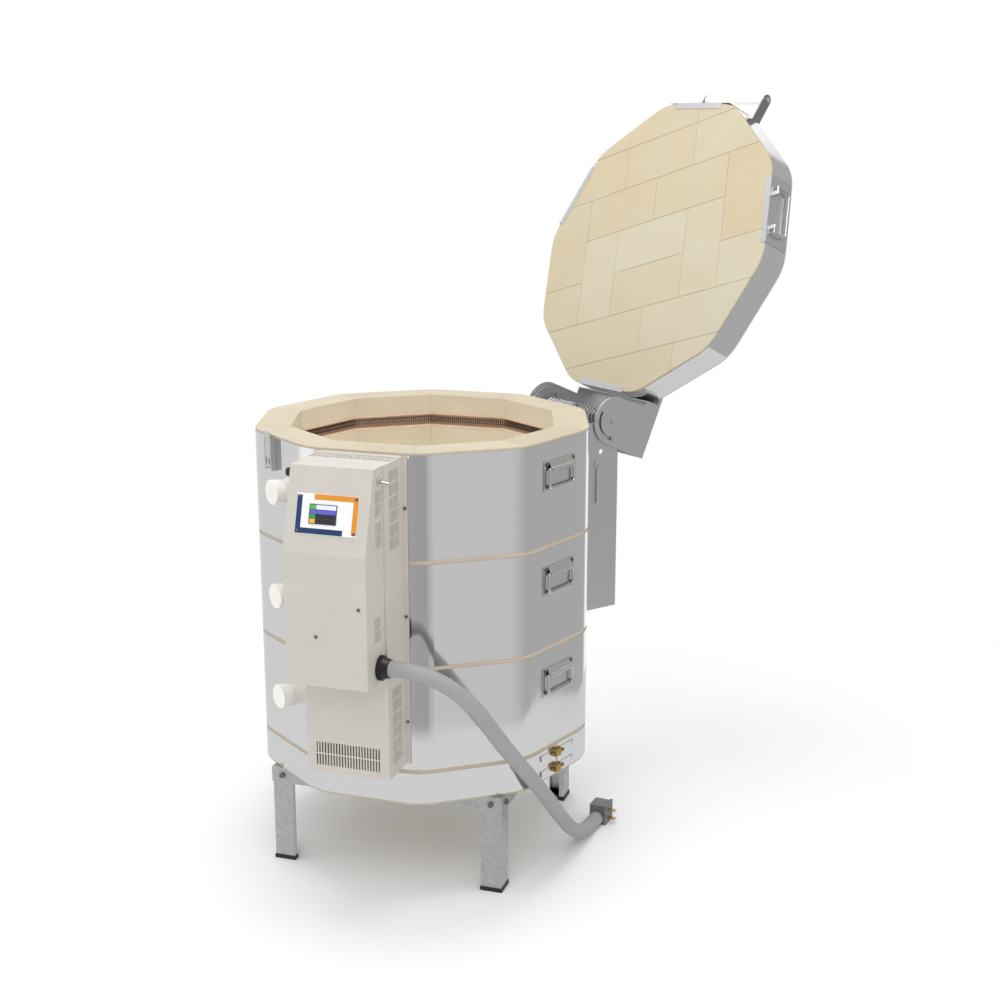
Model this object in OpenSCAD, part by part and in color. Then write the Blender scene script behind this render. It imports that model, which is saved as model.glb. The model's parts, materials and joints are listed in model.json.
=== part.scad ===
// Top-loading sectional annealing kiln: three ten-sided fire-brick rings on a stand,
// a hinged brick lid shown open, a control box, an element box and a captive power cord.
// Millimetres, +Z up, z = 0 on the floor, the Z axis is the middle of the chamber.
// +Y is the back, where the lid hinge is, and +X is the right-hand side seen from the front.

/* [Brickwork] */
// Number of flat sides of the kiln
sides = 10; // [10:1:10]
// Chamber size across the flats
chamber_w = 575; // [560:1:600]
// Thickness of the fire-brick wall
wall_t = 76; // [72:1:80]
// Height of one brick ring
ring_h = 228.6; // [226:0.2:240]
// Number of rings
ring_count = 3; // [3:1:3]
// Radius of the rounded outer corners
corner_r = 110; // [80:5:130]
// Thickness of the brick floor
floor_t = 76.2; // [70:0.2:90]
// Thickness of the brick lid
lid_t = 76.2; // [70:0.2:84]

/* [Jackets] */
// Thickness of the stainless jacket sheet
jacket_t = 0.9; // [0.8:0.1:1.2]
// Brick left bare at each end of a jacket
jacket_short = 4.5; // [3:0.5:7]
// Gap between brick and jacket
jacket_gap = 0.3; // [0.2:0.1:0.5]

/* [Stand] */
// Height of the stand, floor to the underside of the brick
stand_h = 223; // [210:1:260]
// How much further out the frame bars stand than a square that just fits in the jacket
stand_out = 14; // [0:1:20]
// Width of one face of a leg
leg_w = 47; // [40:1:52]
// Width of the folded lip of a leg
leg_lip = 12; // [8:1:14]
// Thickness of the leg and bar steel
steel_t = 2; // [1.5:0.5:3]
// Height of the upright web of a frame bar
bar_web = 36; // [32:1:42]
// Width of the level flange of a frame bar
bar_flange = 36; // [30:1:42]
// Height of a plastic leg foot
foot_h = 9; // [7:1:14]
// Wall of a plastic leg foot
foot_wall = 2; // [1.5:0.5:3]
// Shank diameter of the frame bolts
bolt_d = 8; // [6:1:8]
// Diameter of the spare holes in the frame bars
spare_hole_d = 9; // [7:1:10]

/* [Element rows] */
// Height of a ceramic element channel
channel_h = 33; // [30:1:36]
// Depth of a ceramic element channel
channel_d = 21; // [18:1:24]
// Wall of a ceramic element channel
channel_wall = 4; // [3:0.5:5]
// Depth of the upper element row below its ring's top
row_drop = 60; // [55:1:66]
// Distance between the two element rows of a ring
row_pitch = 108; // [104:1:112]
// Outer diameter of the coiled element
element_d = 14; // [12:1:16]
// Diameter of an element lead
lead_d = 5; // [4:0.5:6]
// Half the distance between the two leads of a row
lead_half = 26; // [20:1:34]

/* [Peephole plugs] */
// Diameter of a plug at its outer face
plug_face_d = 54; // [50:1:56]
// Diameter of a plug at the jacket
plug_neck_d = 48; // [45:1:48]
// Diameter of a plug at its inner end
plug_tip_d = 40; // [34:1:42]
// How far a plug stands out of the jacket
plug_proud = 27; // [20:1:32]
// Gap round a plug in its hole
plug_gap = 0.5; // [0.4:0.1:0.8]
// Sideways place of the plugs on the front facet
plug_x = 8; // [0:1:12]

/* [Lid and hinge] */
// Angle of the lid from shut, as it stands open
lid_open = 114; // [100:1:116]
// Gap under the shut lid
lid_gap = 1.7; // [1.6:0.1:2.5]
// Distance of the hinge axis behind the middle of the kiln
pivot_y = 442; // [438:1:450]
// Depth of the hinge axis below the rim
pivot_drop = 36; // [32:1:38]
// Half the width of the hinge over its moving cheeks
hinge_half = 132; // [126:1:140]
// Thickness of the hinge plates
hinge_t = 3; // [2.5:0.5:3]
// Radius of the round end of a moving cheek
cheek_r = 57; // [54:1:60]
// Radius of the round top of a fixed cheek
cheek_top_r = 46; // [44:1:48]
// Distance of the fixed cheeks' back edge behind the hinge axis
cheek_back = 18; // [14:1:22]
// Distance of the fixed hinge plate's foot below the rim
hinge_foot = 490; // [440:5:500]
// Diameter of the hinge axle
axle_d = 14; // [12:1:16]
// Running gap round the axle
axle_gap = 0.1; // [0.05:0.01:0.1]
// Gap between a fixed and a moving cheek
cheek_gap = 3; // [2:0.5:4]
// Mean diameter of a hinge spring's curls
spring_d = 40; // [36:1:42]
// Diameter of the spring wire
spring_wire = 5; // [4:0.5:5.5]
// Curls in one hinge spring
spring_curls = 9; // [6:1:9]
// Length of the closing stop's lock pin
pin_len = 86; // [70:1:100]
// Diameter of the lock pin
pin_d = 8; // [6:1:8]

/* [Lid handle] */
// Diameter of the handle tube
grip_d = 24; // [20:1:28]
// Half the length of the handle tube
grip_half = 102; // [90:1:110]
// Distance of the handle tube in front of the lid's front facet
grip_out = 59; // [50:1:66]
// Height of the handle tube above the lid
grip_up = 34; // [30:1:40]
// Width of a handle arm
arm_w = 26; // [22:1:28]

/* [Carrying handles] */
// Width of a handle plate
plate_w = 116; // [110:1:124]
// Height of a handle plate
plate_h = 64; // [60:1:70]
// Thickness of a handle plate
plate_t = 1.6; // [1.2:0.2:2]
// Height of the bail's hinge line above the plate's lower edge
plate_axis = 46; // [42:1:48]
// Depth of a handle plate's top below its ring's top
plate_drop = 43; // [36:1:60]
// Diameter of a bail's rod
bail_rod = 7; // [6:0.5:8]
// Half the width between the middles of a bail's legs
bail_half = 46; // [44:1:48]
// Drop of a bail from its hinge line
bail_drop = 40; // [36:1:44]
// Distance of the hinge line from the plate
bail_stand = 8; // [7:0.5:9]
// Wall of the rolled knuckle that holds the bail
knuckle_wall = 1.4; // [1:0.1:1.6]

/* [Boxes] */
// Half the width of the element box
ebox_half = 92; // [90:1:96]
// Depth of the element box
ebox_d = 95; // [88:1:100]
// Drop of the boxes' top below the rim
box_drop = 5; // [3:1:10]
// Height of the element box
ebox_h = 662; // [655:1:670]
// Width of the flanges that screw the element box on
ebox_flange = 10; // [8:1:12]
// Half the width of the control box
cbox_half = 87.5; // [84:0.5:88]
// Depth of the control box at its top
cbox_top_d = 43; // [40:1:50]
// Depth of the control box at its kink
cbox_kink_d = 91.5; // [86:0.5:96]
// Depth of the kink below the box's top
cbox_kink = 164; // [160:1:170]
// Height of the control box
cbox_h = 436; // [430:1:440]
// Thickness of the box sheet
box_t = 1.5; // [1.2:0.1:2]
// Width of a vent slot
slot_w = 3; // [2.5:0.1:3.2]
// Distance from one vent slot to the next
slot_pitch = 6.3; // [6:0.1:6.5]

/* [Controls] */
// Width of the control panel's faceplate
face_w = 131; // [126:1:140]
// Height of the faceplate along the slope
face_h = 79; // [76:1:84]
// Distance of the faceplate from the slope's top edge
face_drop = 54; // [48:1:60]
// Width of the touch screen
screen_w = 58; // [52:1:64]
// Height of the touch screen
screen_h = 39; // [36:1:44]
// Length of the toggle lever outside its bushing
toggle_len = 19; // [15:1:22]
// Swing of the toggle lever
toggle_swing = 24; // [20:1:28]
// Diameter of the fuse holder's cap
fuse_d = 22; // [18:1:24]

/* [Power cord] */
// Diameter of the power cord
cord_d = 33; // [30:1:34]
// Diameter of the ribbed cord gland
gland_d = 48; // [44:1:50]
// Length of the cord gland outside the box
gland_len = 22.5; // [20:0.5:24]
// Depth of the cord gland below the rim
gland_drop = 411; // [405:1:415]
// Width of the plug's body
plug_w = 46; // [44:1:50]
// Thickness of the plug's body
plug_t = 40; // [38:1:44]

/* [Hidden] */
$fn = 64;

half_step = 180 / sides;
chamber_r = chamber_w / 2;
brick_r = chamber_r + wall_t;
jacket_r = brick_r + jacket_gap;
skin_r = jacket_r + jacket_t;
box_r = skin_r + jacket_gap;
flat_half = (brick_r - corner_r) * tan(half_step);
stand_half = skin_r / sqrt(2) + stand_out;
floor_z = stand_h + floor_t;
rim_z = floor_z + ring_count * ring_h;
lid_z = rim_z + lid_gap;
pivot_z = rim_z - pivot_drop;
big = 3 * brick_r;
eps = 0.01;
front = -90;
box_side = -54;
handle_side = 18;
lid_side = -18;
function ring_top(i) = floor_z + (i + 1) * ring_h;

brick_colour = [0.93, 0.89, 0.79];
steel_colour = [0.80, 0.80, 0.81];
zinc_colour = [0.62, 0.62, 0.62];
panel_colour = [0.79, 0.77, 0.73];
chrome_colour = [0.86, 0.86, 0.87];
brass_colour = [0.80, 0.64, 0.25];
cord_colour = [0.58, 0.58, 0.58];
black_colour = [0.06, 0.06, 0.06];
white_colour = [0.94, 0.93, 0.89];
channel_colour = [0.86, 0.70, 0.58];
element_colour = [0.28, 0.26, 0.25];

// Place children on the facet whose outward direction is at this angle:
// local X points outward, Y along the facet and Z up
module on_facet(angle, out = 0, z = 0) rotate([0, 0, angle]) translate([out, 0, z]) children();

// Turn children, drawn as if the lid were shut, to where the open lid stands
module on_lid() translate([0, pivot_y, pivot_z]) rotate([-lid_open, 0, 0])
  translate([0, -pivot_y, -pivot_z]) children();

// A bar of the given section edge to edge: a box with its middle on the origin in Y
module slab_box(x, y, z) translate([0, -y / 2, 0]) cube([x, y, z]);

// Outline of the kiln, grown outwards by g. The corner arcs stop a hair short of the flats,
// so that no arc is tangent to an edge
corner_ease = 0.2;
module outline(g = 0) {
  r = corner_r + g;
  d = brick_r - corner_r;
  polygon([for (k = [0 : sides - 1], s = [-1, 1])
    let (a = k * 2 * half_step + half_step)
    [(d + r) * cos(a) - s * flat_half * sin(a), (d + r) * sin(a) + s * flat_half * cos(a)]]);
  for (k = [0 : sides - 1]) rotate(k * 2 * half_step) translate([d / cos(half_step), 0])
    circle(r = r - corner_ease);
}

// The ten-sided chamber, grown outwards by g
module chamber(g = 0) {
  r = (chamber_r + g) / cos(half_step);
  polygon([for (k = [0 : sides - 1]) r * [cos(2 * k * half_step), sin(2 * k * half_step)]]);
}

// The wedge that one brick of a ring takes, half a joint narrower on each side
brick_joint = 0.3;
module wedge() translate([brick_joint / 2 / sin(half_step), 0])
  polygon([[0, 0], [big, -big * tan(half_step)], [big, big * tan(half_step)]]);

// A stainless band round the outline
module band(z0, z1) translate([0, 0, z0]) linear_extrude(z1 - z0) difference() {
  outline(jacket_gap + jacket_t);
  outline(jacket_gap);
}

// Points and faces of a round tube swept along a path
function unit(v) = v / norm(v);
function heading(p, i) = unit(p[min(i + 1, len(p) - 1)] - p[max(i - 1, 0)]);
function square_to(v, t) = unit(v - (v * t) * t);
function sides_of(p, start) = [for (i = 0, u = square_to(start, heading(p, 0)); i < len(p);
  i = i + 1, u = i < len(p) ? square_to(u, heading(p, i)) : u) u];
function tube_points(p, r, n, start) = let (us = sides_of(p, start))
  [for (i = [0 : len(p) - 1]) let (t = heading(p, i), u = us[i], v = cross(t, u))
    for (k = [0 : n - 1]) p[i] + r * (cos(360 * k / n) * u + sin(360 * k / n) * v)];
function tube_faces(m, n) = concat(
  [for (k = [1 : n - 2]) [0, k, k + 1]],
  [for (k = [1 : n - 2]) [(m - 1) * n, (m - 1) * n + k + 1, (m - 1) * n + k]],
  [for (i = [0 : m - 2], k = [0 : n - 1]) [i * n + k, (i + 1) * n + k, i * n + (k + 1) % n]],
  [for (i = [0 : m - 2], k = [0 : n - 1])
    [(i + 1) * n + k, (i + 1) * n + (k + 1) % n, i * n + (k + 1) % n]]);
module tube(p, r, n, start = [0, 0, 1]) polyhedron(tube_points(p, r, n, start), tube_faces(len(p), n));

// Stand
leg_in = stand_half - steel_t;
leg_top = stand_h - steel_t;
leg_foot_z = 3;
bolt_z = stand_h - bar_web / 2;
bolt_in = leg_w / 2 + steel_t;
spare_in = leg_w + 25;
bolt_hole_d = bolt_d + 0.4;

// Section of a leg with its outer corner at the origin, grown by g
function leg_section(g) = let (w = leg_w + g, a = steel_t + g, b = leg_w - steel_t - g, c = leg_lip + g)
  [[-g, -g], [w, -g], [w, c], [b, c], [b, a], [a, a], [a, b], [c, b], [c, w], [-g, w]];

module at_legs() for (k = [0 : 3])
  rotate([0, 0, box_side + 90 * k]) translate([leg_in, leg_in, 0]) rotate([0, 0, 180]) children();

module stand_legs() color(zinc_colour) at_legs() difference() {
  translate([0, 0, leg_foot_z]) linear_extrude(leg_top - leg_foot_z - jacket_gap) polygon(leg_section(0));
  translate([leg_w / 2, -1, bolt_z]) rotate([-90, 0, 0]) cylinder(d = bolt_hole_d, h = steel_t + 2);
  translate([-1, leg_w / 2, bolt_z]) rotate([0, 90, 0]) cylinder(d = bolt_hole_d, h = steel_t + 2);
}

module leg_feet() color(black_colour) at_legs() difference() {
  linear_extrude(foot_h) polygon(leg_section(foot_wall));
  translate([0, 0, leg_foot_z]) linear_extrude(foot_h) polygon(leg_section(0.05));
}

module stand_bars() color(zinc_colour) for (k = [0 : 3]) rotate([0, 0, box_side + 90 * k]) difference() {
  intersection() {
    union() {
      translate([stand_half - steel_t, -stand_half, stand_h - bar_web])
        cube([steel_t, 2 * stand_half, bar_web]);
      translate([stand_half - bar_flange, -stand_half, stand_h - steel_t])
        cube([bar_flange, 2 * stand_half, steel_t]);
    }
    translate([0, 0, stand_h - bar_web - 1]) linear_extrude(bar_web + 2)
      polygon([[0.2, 0], [big, -big + 0.2], [big, big - 0.2]]);
  }
  for (s = [-1, 1]) {
    translate([stand_half - steel_t - 1, s * (stand_half - bolt_in), bolt_z]) rotate([0, 90, 0])
      cylinder(d = bolt_hole_d, h = steel_t + 2);
    translate([stand_half - steel_t - 1, s * (stand_half - spare_in), bolt_z]) rotate([0, 90, 0])
      cylinder(d = spare_hole_d, h = steel_t + 2);
  }
}

// Brick floor and its band with two worm clamps
module floor_slab() color(brick_colour) translate([0, 0, stand_h]) linear_extrude(floor_t) outline();

clamp_in = 20;
clamp_pitch = 36;
clamp_z = [for (k = [0, 1]) floor_z - clamp_in - k * clamp_pitch];
strap_w = 12;
strap_t = 1.2;
strap_half = 62;
strap_loop_r = 2;
housing_l = 34;
housing_h = 15;
housing_d = 9;
seam_gap = 4;
screw_d = 6;

module floor_band() color(steel_colour) difference() {
  band(stand_h + jacket_short, floor_z - jacket_short);
  on_facet(handle_side, jacket_r - 1, stand_h) slab_box(jacket_t + 2, seam_gap, floor_t);
}

module clamp_straps() color(chrome_colour) for (z = clamp_z) on_facet(handle_side, skin_r + jacket_gap, z)
  for (s = [-1, 1]) translate([0, s > 0 ? housing_l / 2 - 6 : -strap_half, -strap_w / 2]) {
    cube([strap_t, strap_half - housing_l / 2 + 6, strap_w]);
    translate([strap_loop_r, s > 0 ? strap_half - housing_l / 2 + 4 : strap_loop_r, 0])
      cylinder(r = strap_loop_r, h = strap_w);
  }

module clamp_screws() color(brass_colour) for (z = clamp_z)
  on_facet(handle_side, skin_r + 2 * jacket_gap + strap_t, z) {
    difference() {
      translate([0, -housing_l / 2, -housing_h / 2]) cube([housing_d, housing_l - 14, housing_h]);
      translate([housing_d / 2, -housing_l / 2 - 1, 0]) rotate([-90, 0, 0])
        cylinder(d = screw_d + 0.4, h = housing_l);
    }
    translate([housing_d / 2, -housing_l / 2 - 4, 0]) rotate([-90, 0, 0])
      cylinder(d = screw_d, h = housing_l - 4);
    translate([housing_d / 2, housing_l / 2 - 8, 0]) rotate([-90, 0, 0])
      cylinder(d = housing_d, h = 7, $fn = 6);
  }

// Brick rings with grooves for the element channels and holes for plug, leads and thermocouple
groove_gap = 0.3;
lead_gap = 2;
thermo_d = 8;
thermo_in = 26;
function row_z(i, j) = ring_top(i) - row_drop - j * row_pitch;
function ring_mid(i) = ring_top(i) - ring_h / 2;

// The plug's cone, from the chamber face to the brick's outer face, grown by g
module plug_cone(g) rotate([0, 90, 0]) translate([0, 0, -wall_t])
  cylinder(r1 = plug_tip_d / 2 + g, r2 = plug_neck_d / 2 + g, h = wall_t);

module brick(i, k) {
  angle = k * 2 * half_step + half_step;
  difference() {
    translate([0, 0, ring_top(i) - ring_h]) linear_extrude(ring_h)
      rotate(angle) intersection() {
        rotate(-angle) difference() { outline(); chamber(); }
        wedge();
      }
    for (j = [0, 1]) on_facet(angle, chamber_r - 1, row_z(i, j) - channel_h / 2 - groove_gap)
      slab_box(channel_d + 1 + groove_gap, big / 2, channel_h + 2 * groove_gap);
    if (abs(angle - (front + 360)) < 1) on_facet(front, brick_r, ring_mid(i)) translate([0, plug_x, 0]) {
      plug_cone(plug_gap);
      translate([-wall_t - 1, 0, 0]) rotate([0, 90, 0]) cylinder(d = plug_tip_d + 2 * plug_gap, h = 2);
    }
    if (abs(angle - (box_side + 360)) < 1) on_facet(box_side, chamber_r - 1, 0) {
      for (j = [0, 1], s = [-1, 1]) translate([0, s * lead_half, row_z(i, j)]) rotate([0, 90, 0])
        cylinder(d = lead_d + lead_gap, h = wall_t + 2);
      translate([0, 0, ring_mid(i)]) rotate([0, 90, 0]) cylinder(d = thermo_d + lead_gap, h = wall_t + 2);
    }
  }
}
module ring_bricks(i) color(brick_colour) for (k = [0 : sides - 1]) brick(i, k);
module ring_bricks_bottom() ring_bricks(0);
module ring_bricks_middle() ring_bricks(1);
module ring_bricks_top() ring_bricks(2);

module jacket(i) color(steel_colour) difference() {
  band(ring_top(i) - ring_h + jacket_short, ring_top(i) - jacket_short);
  on_facet(front, jacket_r - 1, ring_mid(i)) translate([0, plug_x, 0]) rotate([0, 90, 0])
    cylinder(d = plug_neck_d + 2 * plug_gap + 1, h = jacket_t + 2);
  on_facet(box_side, jacket_r - 1, 0) {
    for (j = [0, 1], s = [-1, 1]) translate([0, s * lead_half, row_z(i, j)]) rotate([0, 90, 0])
      cylinder(d = lead_d + lead_gap, h = jacket_t + 2);
    translate([0, 0, ring_mid(i)]) rotate([0, 90, 0]) cylinder(d = thermo_d + lead_gap, h = jacket_t + 2);
  }
}
module jacket_bottom() jacket(0);
module jacket_middle() jacket(1);
module jacket_top() jacket(2);

// Ceramic channels, one length on each facet, and the coiled elements in them
channel_end = 0.4;
element_gap = 0.3;
module channel_piece(holed) difference() {
  intersection() {
    translate([0, 0, -channel_h / 2]) slab_box(channel_d, big / 2, channel_h);
    translate([-chamber_r, 0, -channel_h]) linear_extrude(2 * channel_h)
      polygon([for (p = [[0, 0], [big, -1], [big, 1]]) [p[0], p[1] * (big * tan(half_step) - channel_end)]]);
  }
  translate([-1, 0, -channel_h / 2 + channel_wall])
    slab_box(channel_d - channel_wall + 1, big, channel_h - 2 * channel_wall);
  if (holed) for (s = [-1, 1]) translate([0, s * lead_half, 0]) rotate([0, 90, 0])
    cylinder(d = lead_d + lead_gap, h = channel_d + 1);
}
module element_channels(i) color(channel_colour) for (j = [0, 1], k = [0 : sides - 1])
  on_facet(k * 2 * half_step + half_step, chamber_r, row_z(i, j))
    channel_piece(abs(k * 2 * half_step + half_step - (box_side + 360)) < 1);
module element_channels_bottom() element_channels(0);
module element_channels_middle() element_channels(1);
module element_channels_top() element_channels(2);

coil_r = chamber_r + channel_d - channel_wall - element_d / 2 - element_gap;
function coil_path(z) = let (c = coil_r / cos(half_step)) concat(
  [let (a = box_side) [coil_r * cos(a) - lead_half * sin(a), coil_r * sin(a) + lead_half * cos(a), z]],
  [for (k = [0 : sides - 1]) let (a = box_side + half_step + 2 * k * half_step) [c * cos(a), c * sin(a), z]],
  [let (a = box_side) [coil_r * cos(a) + lead_half * sin(a), coil_r * sin(a) - lead_half * cos(a), z]]);
block_d = 16;
lead_start = coil_r + element_d / 2 + element_gap;
lead_end = box_r + block_d + 6;
module elements(i) color(element_colour) for (j = [0, 1]) {
  tube(coil_path(row_z(i, j)), element_d / 2, 8);
  for (s = [-1, 1]) on_facet(box_side, lead_start, row_z(i, j)) translate([0, s * lead_half, 0])
    rotate([0, 90, 0]) cylinder(d = lead_d, h = lead_end - lead_start);
}
module elements_bottom() elements(0);
module elements_middle() elements(1);
module elements_top() elements(2);

head_w = 18;
module thermocouples() color(white_colour) for (i = [0 : ring_count - 1])
  on_facet(box_side, chamber_r - thermo_in, ring_mid(i)) {
    translate([thermo_d / 2, 0, 0]) sphere(d = thermo_d);
    translate([thermo_d / 2, 0, 0]) rotate([0, 90, 0])
      cylinder(d = thermo_d, h = box_r - chamber_r + thermo_in);
    translate([box_r - chamber_r + thermo_in + jacket_gap, 0, -head_w / 2]) slab_box(14, head_w, head_w);
  }

// Peephole plugs
module plug(i) color(white_colour) on_facet(front, brick_r, ring_mid(i)) translate([0, plug_x, 0]) {
  plug_cone(0);
  rotate([0, 90, 0]) cylinder(d1 = plug_neck_d, d2 = plug_face_d, h = jacket_gap + jacket_t + plug_proud);
}
module plug_bottom() plug(0);
module plug_middle() plug(1);
module plug_top() plug(2);

// Carrying handles: a pressed plate with a rolled knuckle and a hanging bail
knuckle_r = bail_rod / 2 + knuckle_wall;
knuckle_half = bail_half - bail_rod / 2 - 1;
stub_gap = 0.1;
stub_len = 16;
hole_in = 9;
function bail_z(i) = ring_top(i) - plate_drop - plate_h + plate_axis;
// Side view of the sloping roof from the top of the plate to the barrel
roof_top = plate_h - plate_axis;
roof = [[0, knuckle_r], [0, knuckle_r - knuckle_wall],
  [plate_t - bail_stand - eps, roof_top - 2 * knuckle_wall], [plate_t - bail_stand - eps, roof_top]];
module knuckle() difference() {
  union() {
    translate([0, 0, 0]) rotate([-90, 0, 0]) translate([0, 0, -knuckle_half])
      cylinder(r = knuckle_r, h = 2 * knuckle_half);
    rotate([90, 0, 0]) linear_extrude(2 * knuckle_half, center = true) polygon(roof);
  }
  for (s = [-1, 1]) rotate([-90 * s, 0, 0]) translate([0, 0, knuckle_half - stub_len - 1])
    cylinder(r = bail_rod / 2 + stub_gap, h = stub_len + 2);
}
module handle_plate() {
  difference() {
    translate([-bail_stand, 0, -plate_axis]) slab_box(plate_t, plate_w, plate_h);
    for (s = [-1, 1], z = [-plate_axis + hole_in, plate_h - plate_axis - hole_in + 2])
      translate([-bail_stand - 1, s * (plate_w / 2 - hole_in), z]) rotate([0, 90, 0])
        cylinder(d = 5, h = plate_t + 2, $fn = 24);
  }
  knuckle();
}
module handle_plates() color(chrome_colour)
  for (i = [0 : ring_count - 1], a = [handle_side, handle_side + 180])
    on_facet(a, skin_r + jacket_gap + bail_stand, bail_z(i)) handle_plate();

// A bail hangs from its hinge line along Y; bend is the rounding of its lower corners
bend = 9;
module bail(half, drop) {
  for (s = [-1, 1]) {
    translate([0, s * (half - stub_len), 0]) rotate([-90 * s, 0, 0]) cylinder(d = bail_rod, h = stub_len);
    translate([0, s * half, 0]) sphere(d = bail_rod);
    translate([0, s * half, -drop + bend]) cylinder(d = bail_rod, h = drop - bend);
    translate([0, s * (half - bend), -drop + bend]) rotate([0, 90, 0]) rotate([0, 0, s > 0 ? 0 : -90])
      rotate_extrude(angle = 90) translate([bend, 0]) circle(d = bail_rod);
  }
  translate([0, -half + bend, -drop]) rotate([-90, 0, 0]) cylinder(d = bail_rod, h = 2 * (half - bend));
}
module ring_bail(i, a) color(chrome_colour) on_facet(a, skin_r + jacket_gap + bail_stand, bail_z(i))
  bail(bail_half, bail_drop);
module bail_right_bottom() ring_bail(0, handle_side);
module bail_right_middle() ring_bail(1, handle_side);
module bail_right_top() ring_bail(2, handle_side);
module bail_left_bottom() ring_bail(0, handle_side + 180);
module bail_left_middle() ring_bail(1, handle_side + 180);
module bail_left_top() ring_bail(2, handle_side + 180);

// Latch on the front facet
latch_x = -30;
latch_w = 30;
latch_h = 70;
latch_foot = rim_z - 5 - latch_h;
latch_t = 1.5;
latch_d = 12;
latch_axis = latch_foot + 47;
latch_pin_d = 6;
latch_arm_t = 2;
latch_arm_w = latch_w - 6;
latch_axis_out = latch_d - 5;
latch_tail = 40;
latch_reach = 34;
module latch_base() color(zinc_colour) on_facet(front, box_r, 0) translate([0, latch_x, 0]) {
  difference() {
    translate([0, 0, latch_foot]) slab_box(latch_d, latch_w, latch_h);
    translate([latch_t, 0, latch_foot - 1]) slab_box(latch_d, latch_w - 2 * latch_t, latch_h + 2);
    for (s = [-1, 1]) translate([-1, s * 7, latch_foot + 6]) slab_box(latch_d, 4, 14);
  }
  translate([latch_axis_out, -latch_w / 2 + latch_t - eps, latch_axis]) rotate([-90, 0, 0])
    cylinder(d = latch_pin_d, h = latch_w - 2 * latch_t + 2 * eps);
}
module latch_arm() color(zinc_colour) on_facet(front, box_r + latch_axis_out, latch_axis)
  translate([0, latch_x, 0]) difference() {
    union() {
      rotate([-90, 0, 0]) translate([0, 0, -latch_arm_w / 2]) cylinder(d = latch_pin_d + 5, h = latch_arm_w);
      translate([latch_pin_d / 2, 0, -latch_tail])
        slab_box(latch_arm_t, latch_arm_w, latch_tail + latch_reach);
      translate([latch_pin_d / 2 + 3, -latch_arm_w / 2, latch_reach]) rotate([-90, 0, 0])
        cylinder(r = 3, h = latch_arm_w);
    }
    rotate([-90, 0, 0]) translate([0, 0, -latch_w])
      cylinder(d = latch_pin_d + 2 * stub_gap, h = 2 * latch_w);
    for (s = [-1, 1]) translate([0, s * 6, -latch_tail + 6]) slab_box(12, 4, 14);
  }

// Hinge: fixed channel with two cheeks, axle, springs, moving plate and lock pin
fixed_out = hinge_half - hinge_t - cheek_gap;
web_top = 12;
web_y = skin_r + jacket_gap;
lid_top = lid_z + lid_t;
cap_gap = 0.3;
tab_y = 337;
strip_t = 1.2;
tab_up = 9;
cheek_rear = pivot_y + cheek_r;
nose_y = skin_r + jacket_gap + strip_t + cap_gap;
nose_up = 44;
stop_r = 42;
stop_angle = 262;
stop_d = 7;
stop_len = cheek_gap + hinge_t + 1;
slot_gap = 0.6;
lock_hole = [409, rim_z - 106];
lock_hole_d = 12;
pin_hang = [398, rim_z - 132];
ring_r = 8;
ring_wire = 2.4;
stud_d = 4;
stud_l = 8;
stud_head = 9;

// Extrude a shape drawn in Y and Z between two values of X
module across(x0, x1) translate([x0, 0, 0]) rotate([90, 0, 90]) linear_extrude(x1 - x0) children();

module fixed_cheek_shape() difference() {
  union() {
    translate([web_y, rim_z - hinge_foot]) square([pivot_y + cheek_back - web_y, hinge_foot - pivot_drop]);
    translate([pivot_y, pivot_z]) circle(r = cheek_top_r);
  }
  translate([pivot_y, pivot_z]) circle(d = axle_d + 2 * axle_gap);
  translate(lock_hole) circle(d = lock_hole_d);
  translate([web_y - big, rim_z - web_top]) square([big, big]);
  translate([web_y - 50, rim_z - big]) square([50, big]);
}
module hinge_base() color(zinc_colour) {
  translate([-fixed_out, web_y, rim_z - hinge_foot]) cube([2 * fixed_out, hinge_t, hinge_foot - web_top]);
  for (s = [-1, 1]) {
    across(s * (fixed_out - hinge_t / 2) - hinge_t / 2, s * (fixed_out - hinge_t / 2) + hinge_t / 2)
      fixed_cheek_shape();
    translate([s * (fixed_out + stop_len / 2 - eps) - stop_len / 2, 0, 0]) rotate([90, 0, 90])
      translate([pivot_y + stop_r * cos(stop_angle), pivot_z + stop_r * sin(stop_angle)])
        cylinder(d = stop_d, h = stop_len);
  }
  translate([fixed_out - eps, pin_hang[0], pin_hang[1]]) rotate([0, 90, 0]) {
    cylinder(d = stud_d, h = stud_l + 1);
    translate([0, 0, stud_l]) cylinder(d = stud_head, h = 2);
  }
}

// The moving cheek is drawn as with the lid shut; its slot clears the fixed stop over the lid's swing
function arc(r, a0, a1, n) = [for (k = [0 : n]) let (a = a0 + (a1 - a0) * k / n) [r * cos(a), r * sin(a)]];
module moving_cheek_shape() difference() {
  union() {
    translate([pivot_y, pivot_z]) circle(r = cheek_r);
    translate([pivot_y - cheek_r, pivot_z]) square([2 * cheek_r, lid_top + tab_up - pivot_z]);
    translate([tab_y, lid_top + cap_gap]) square([cheek_rear - tab_y, tab_up - cap_gap]);
    translate([nose_y, lid_z + nose_up]) square([pivot_y - nose_y, lid_t + cap_gap + tab_up - nose_up - 1]);
  }
  translate([pivot_y, pivot_z]) circle(d = axle_d + 2 * axle_gap);
  translate([pivot_y, pivot_z]) rotate(lid_open) {
    intersection() {
      difference() {
        circle(r = stop_r + stop_d / 2 + slot_gap);
        circle(r = stop_r - stop_d / 2 - slot_gap);
      }
      polygon(concat([[0, 0]], arc(2 * stop_r, stop_angle - lid_open, stop_angle, 4)));
    }
    for (a = [stop_angle - lid_open, stop_angle])
      translate([stop_r * cos(a), stop_r * sin(a)]) circle(r = stop_d / 2 + slot_gap);
  }
}
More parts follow.
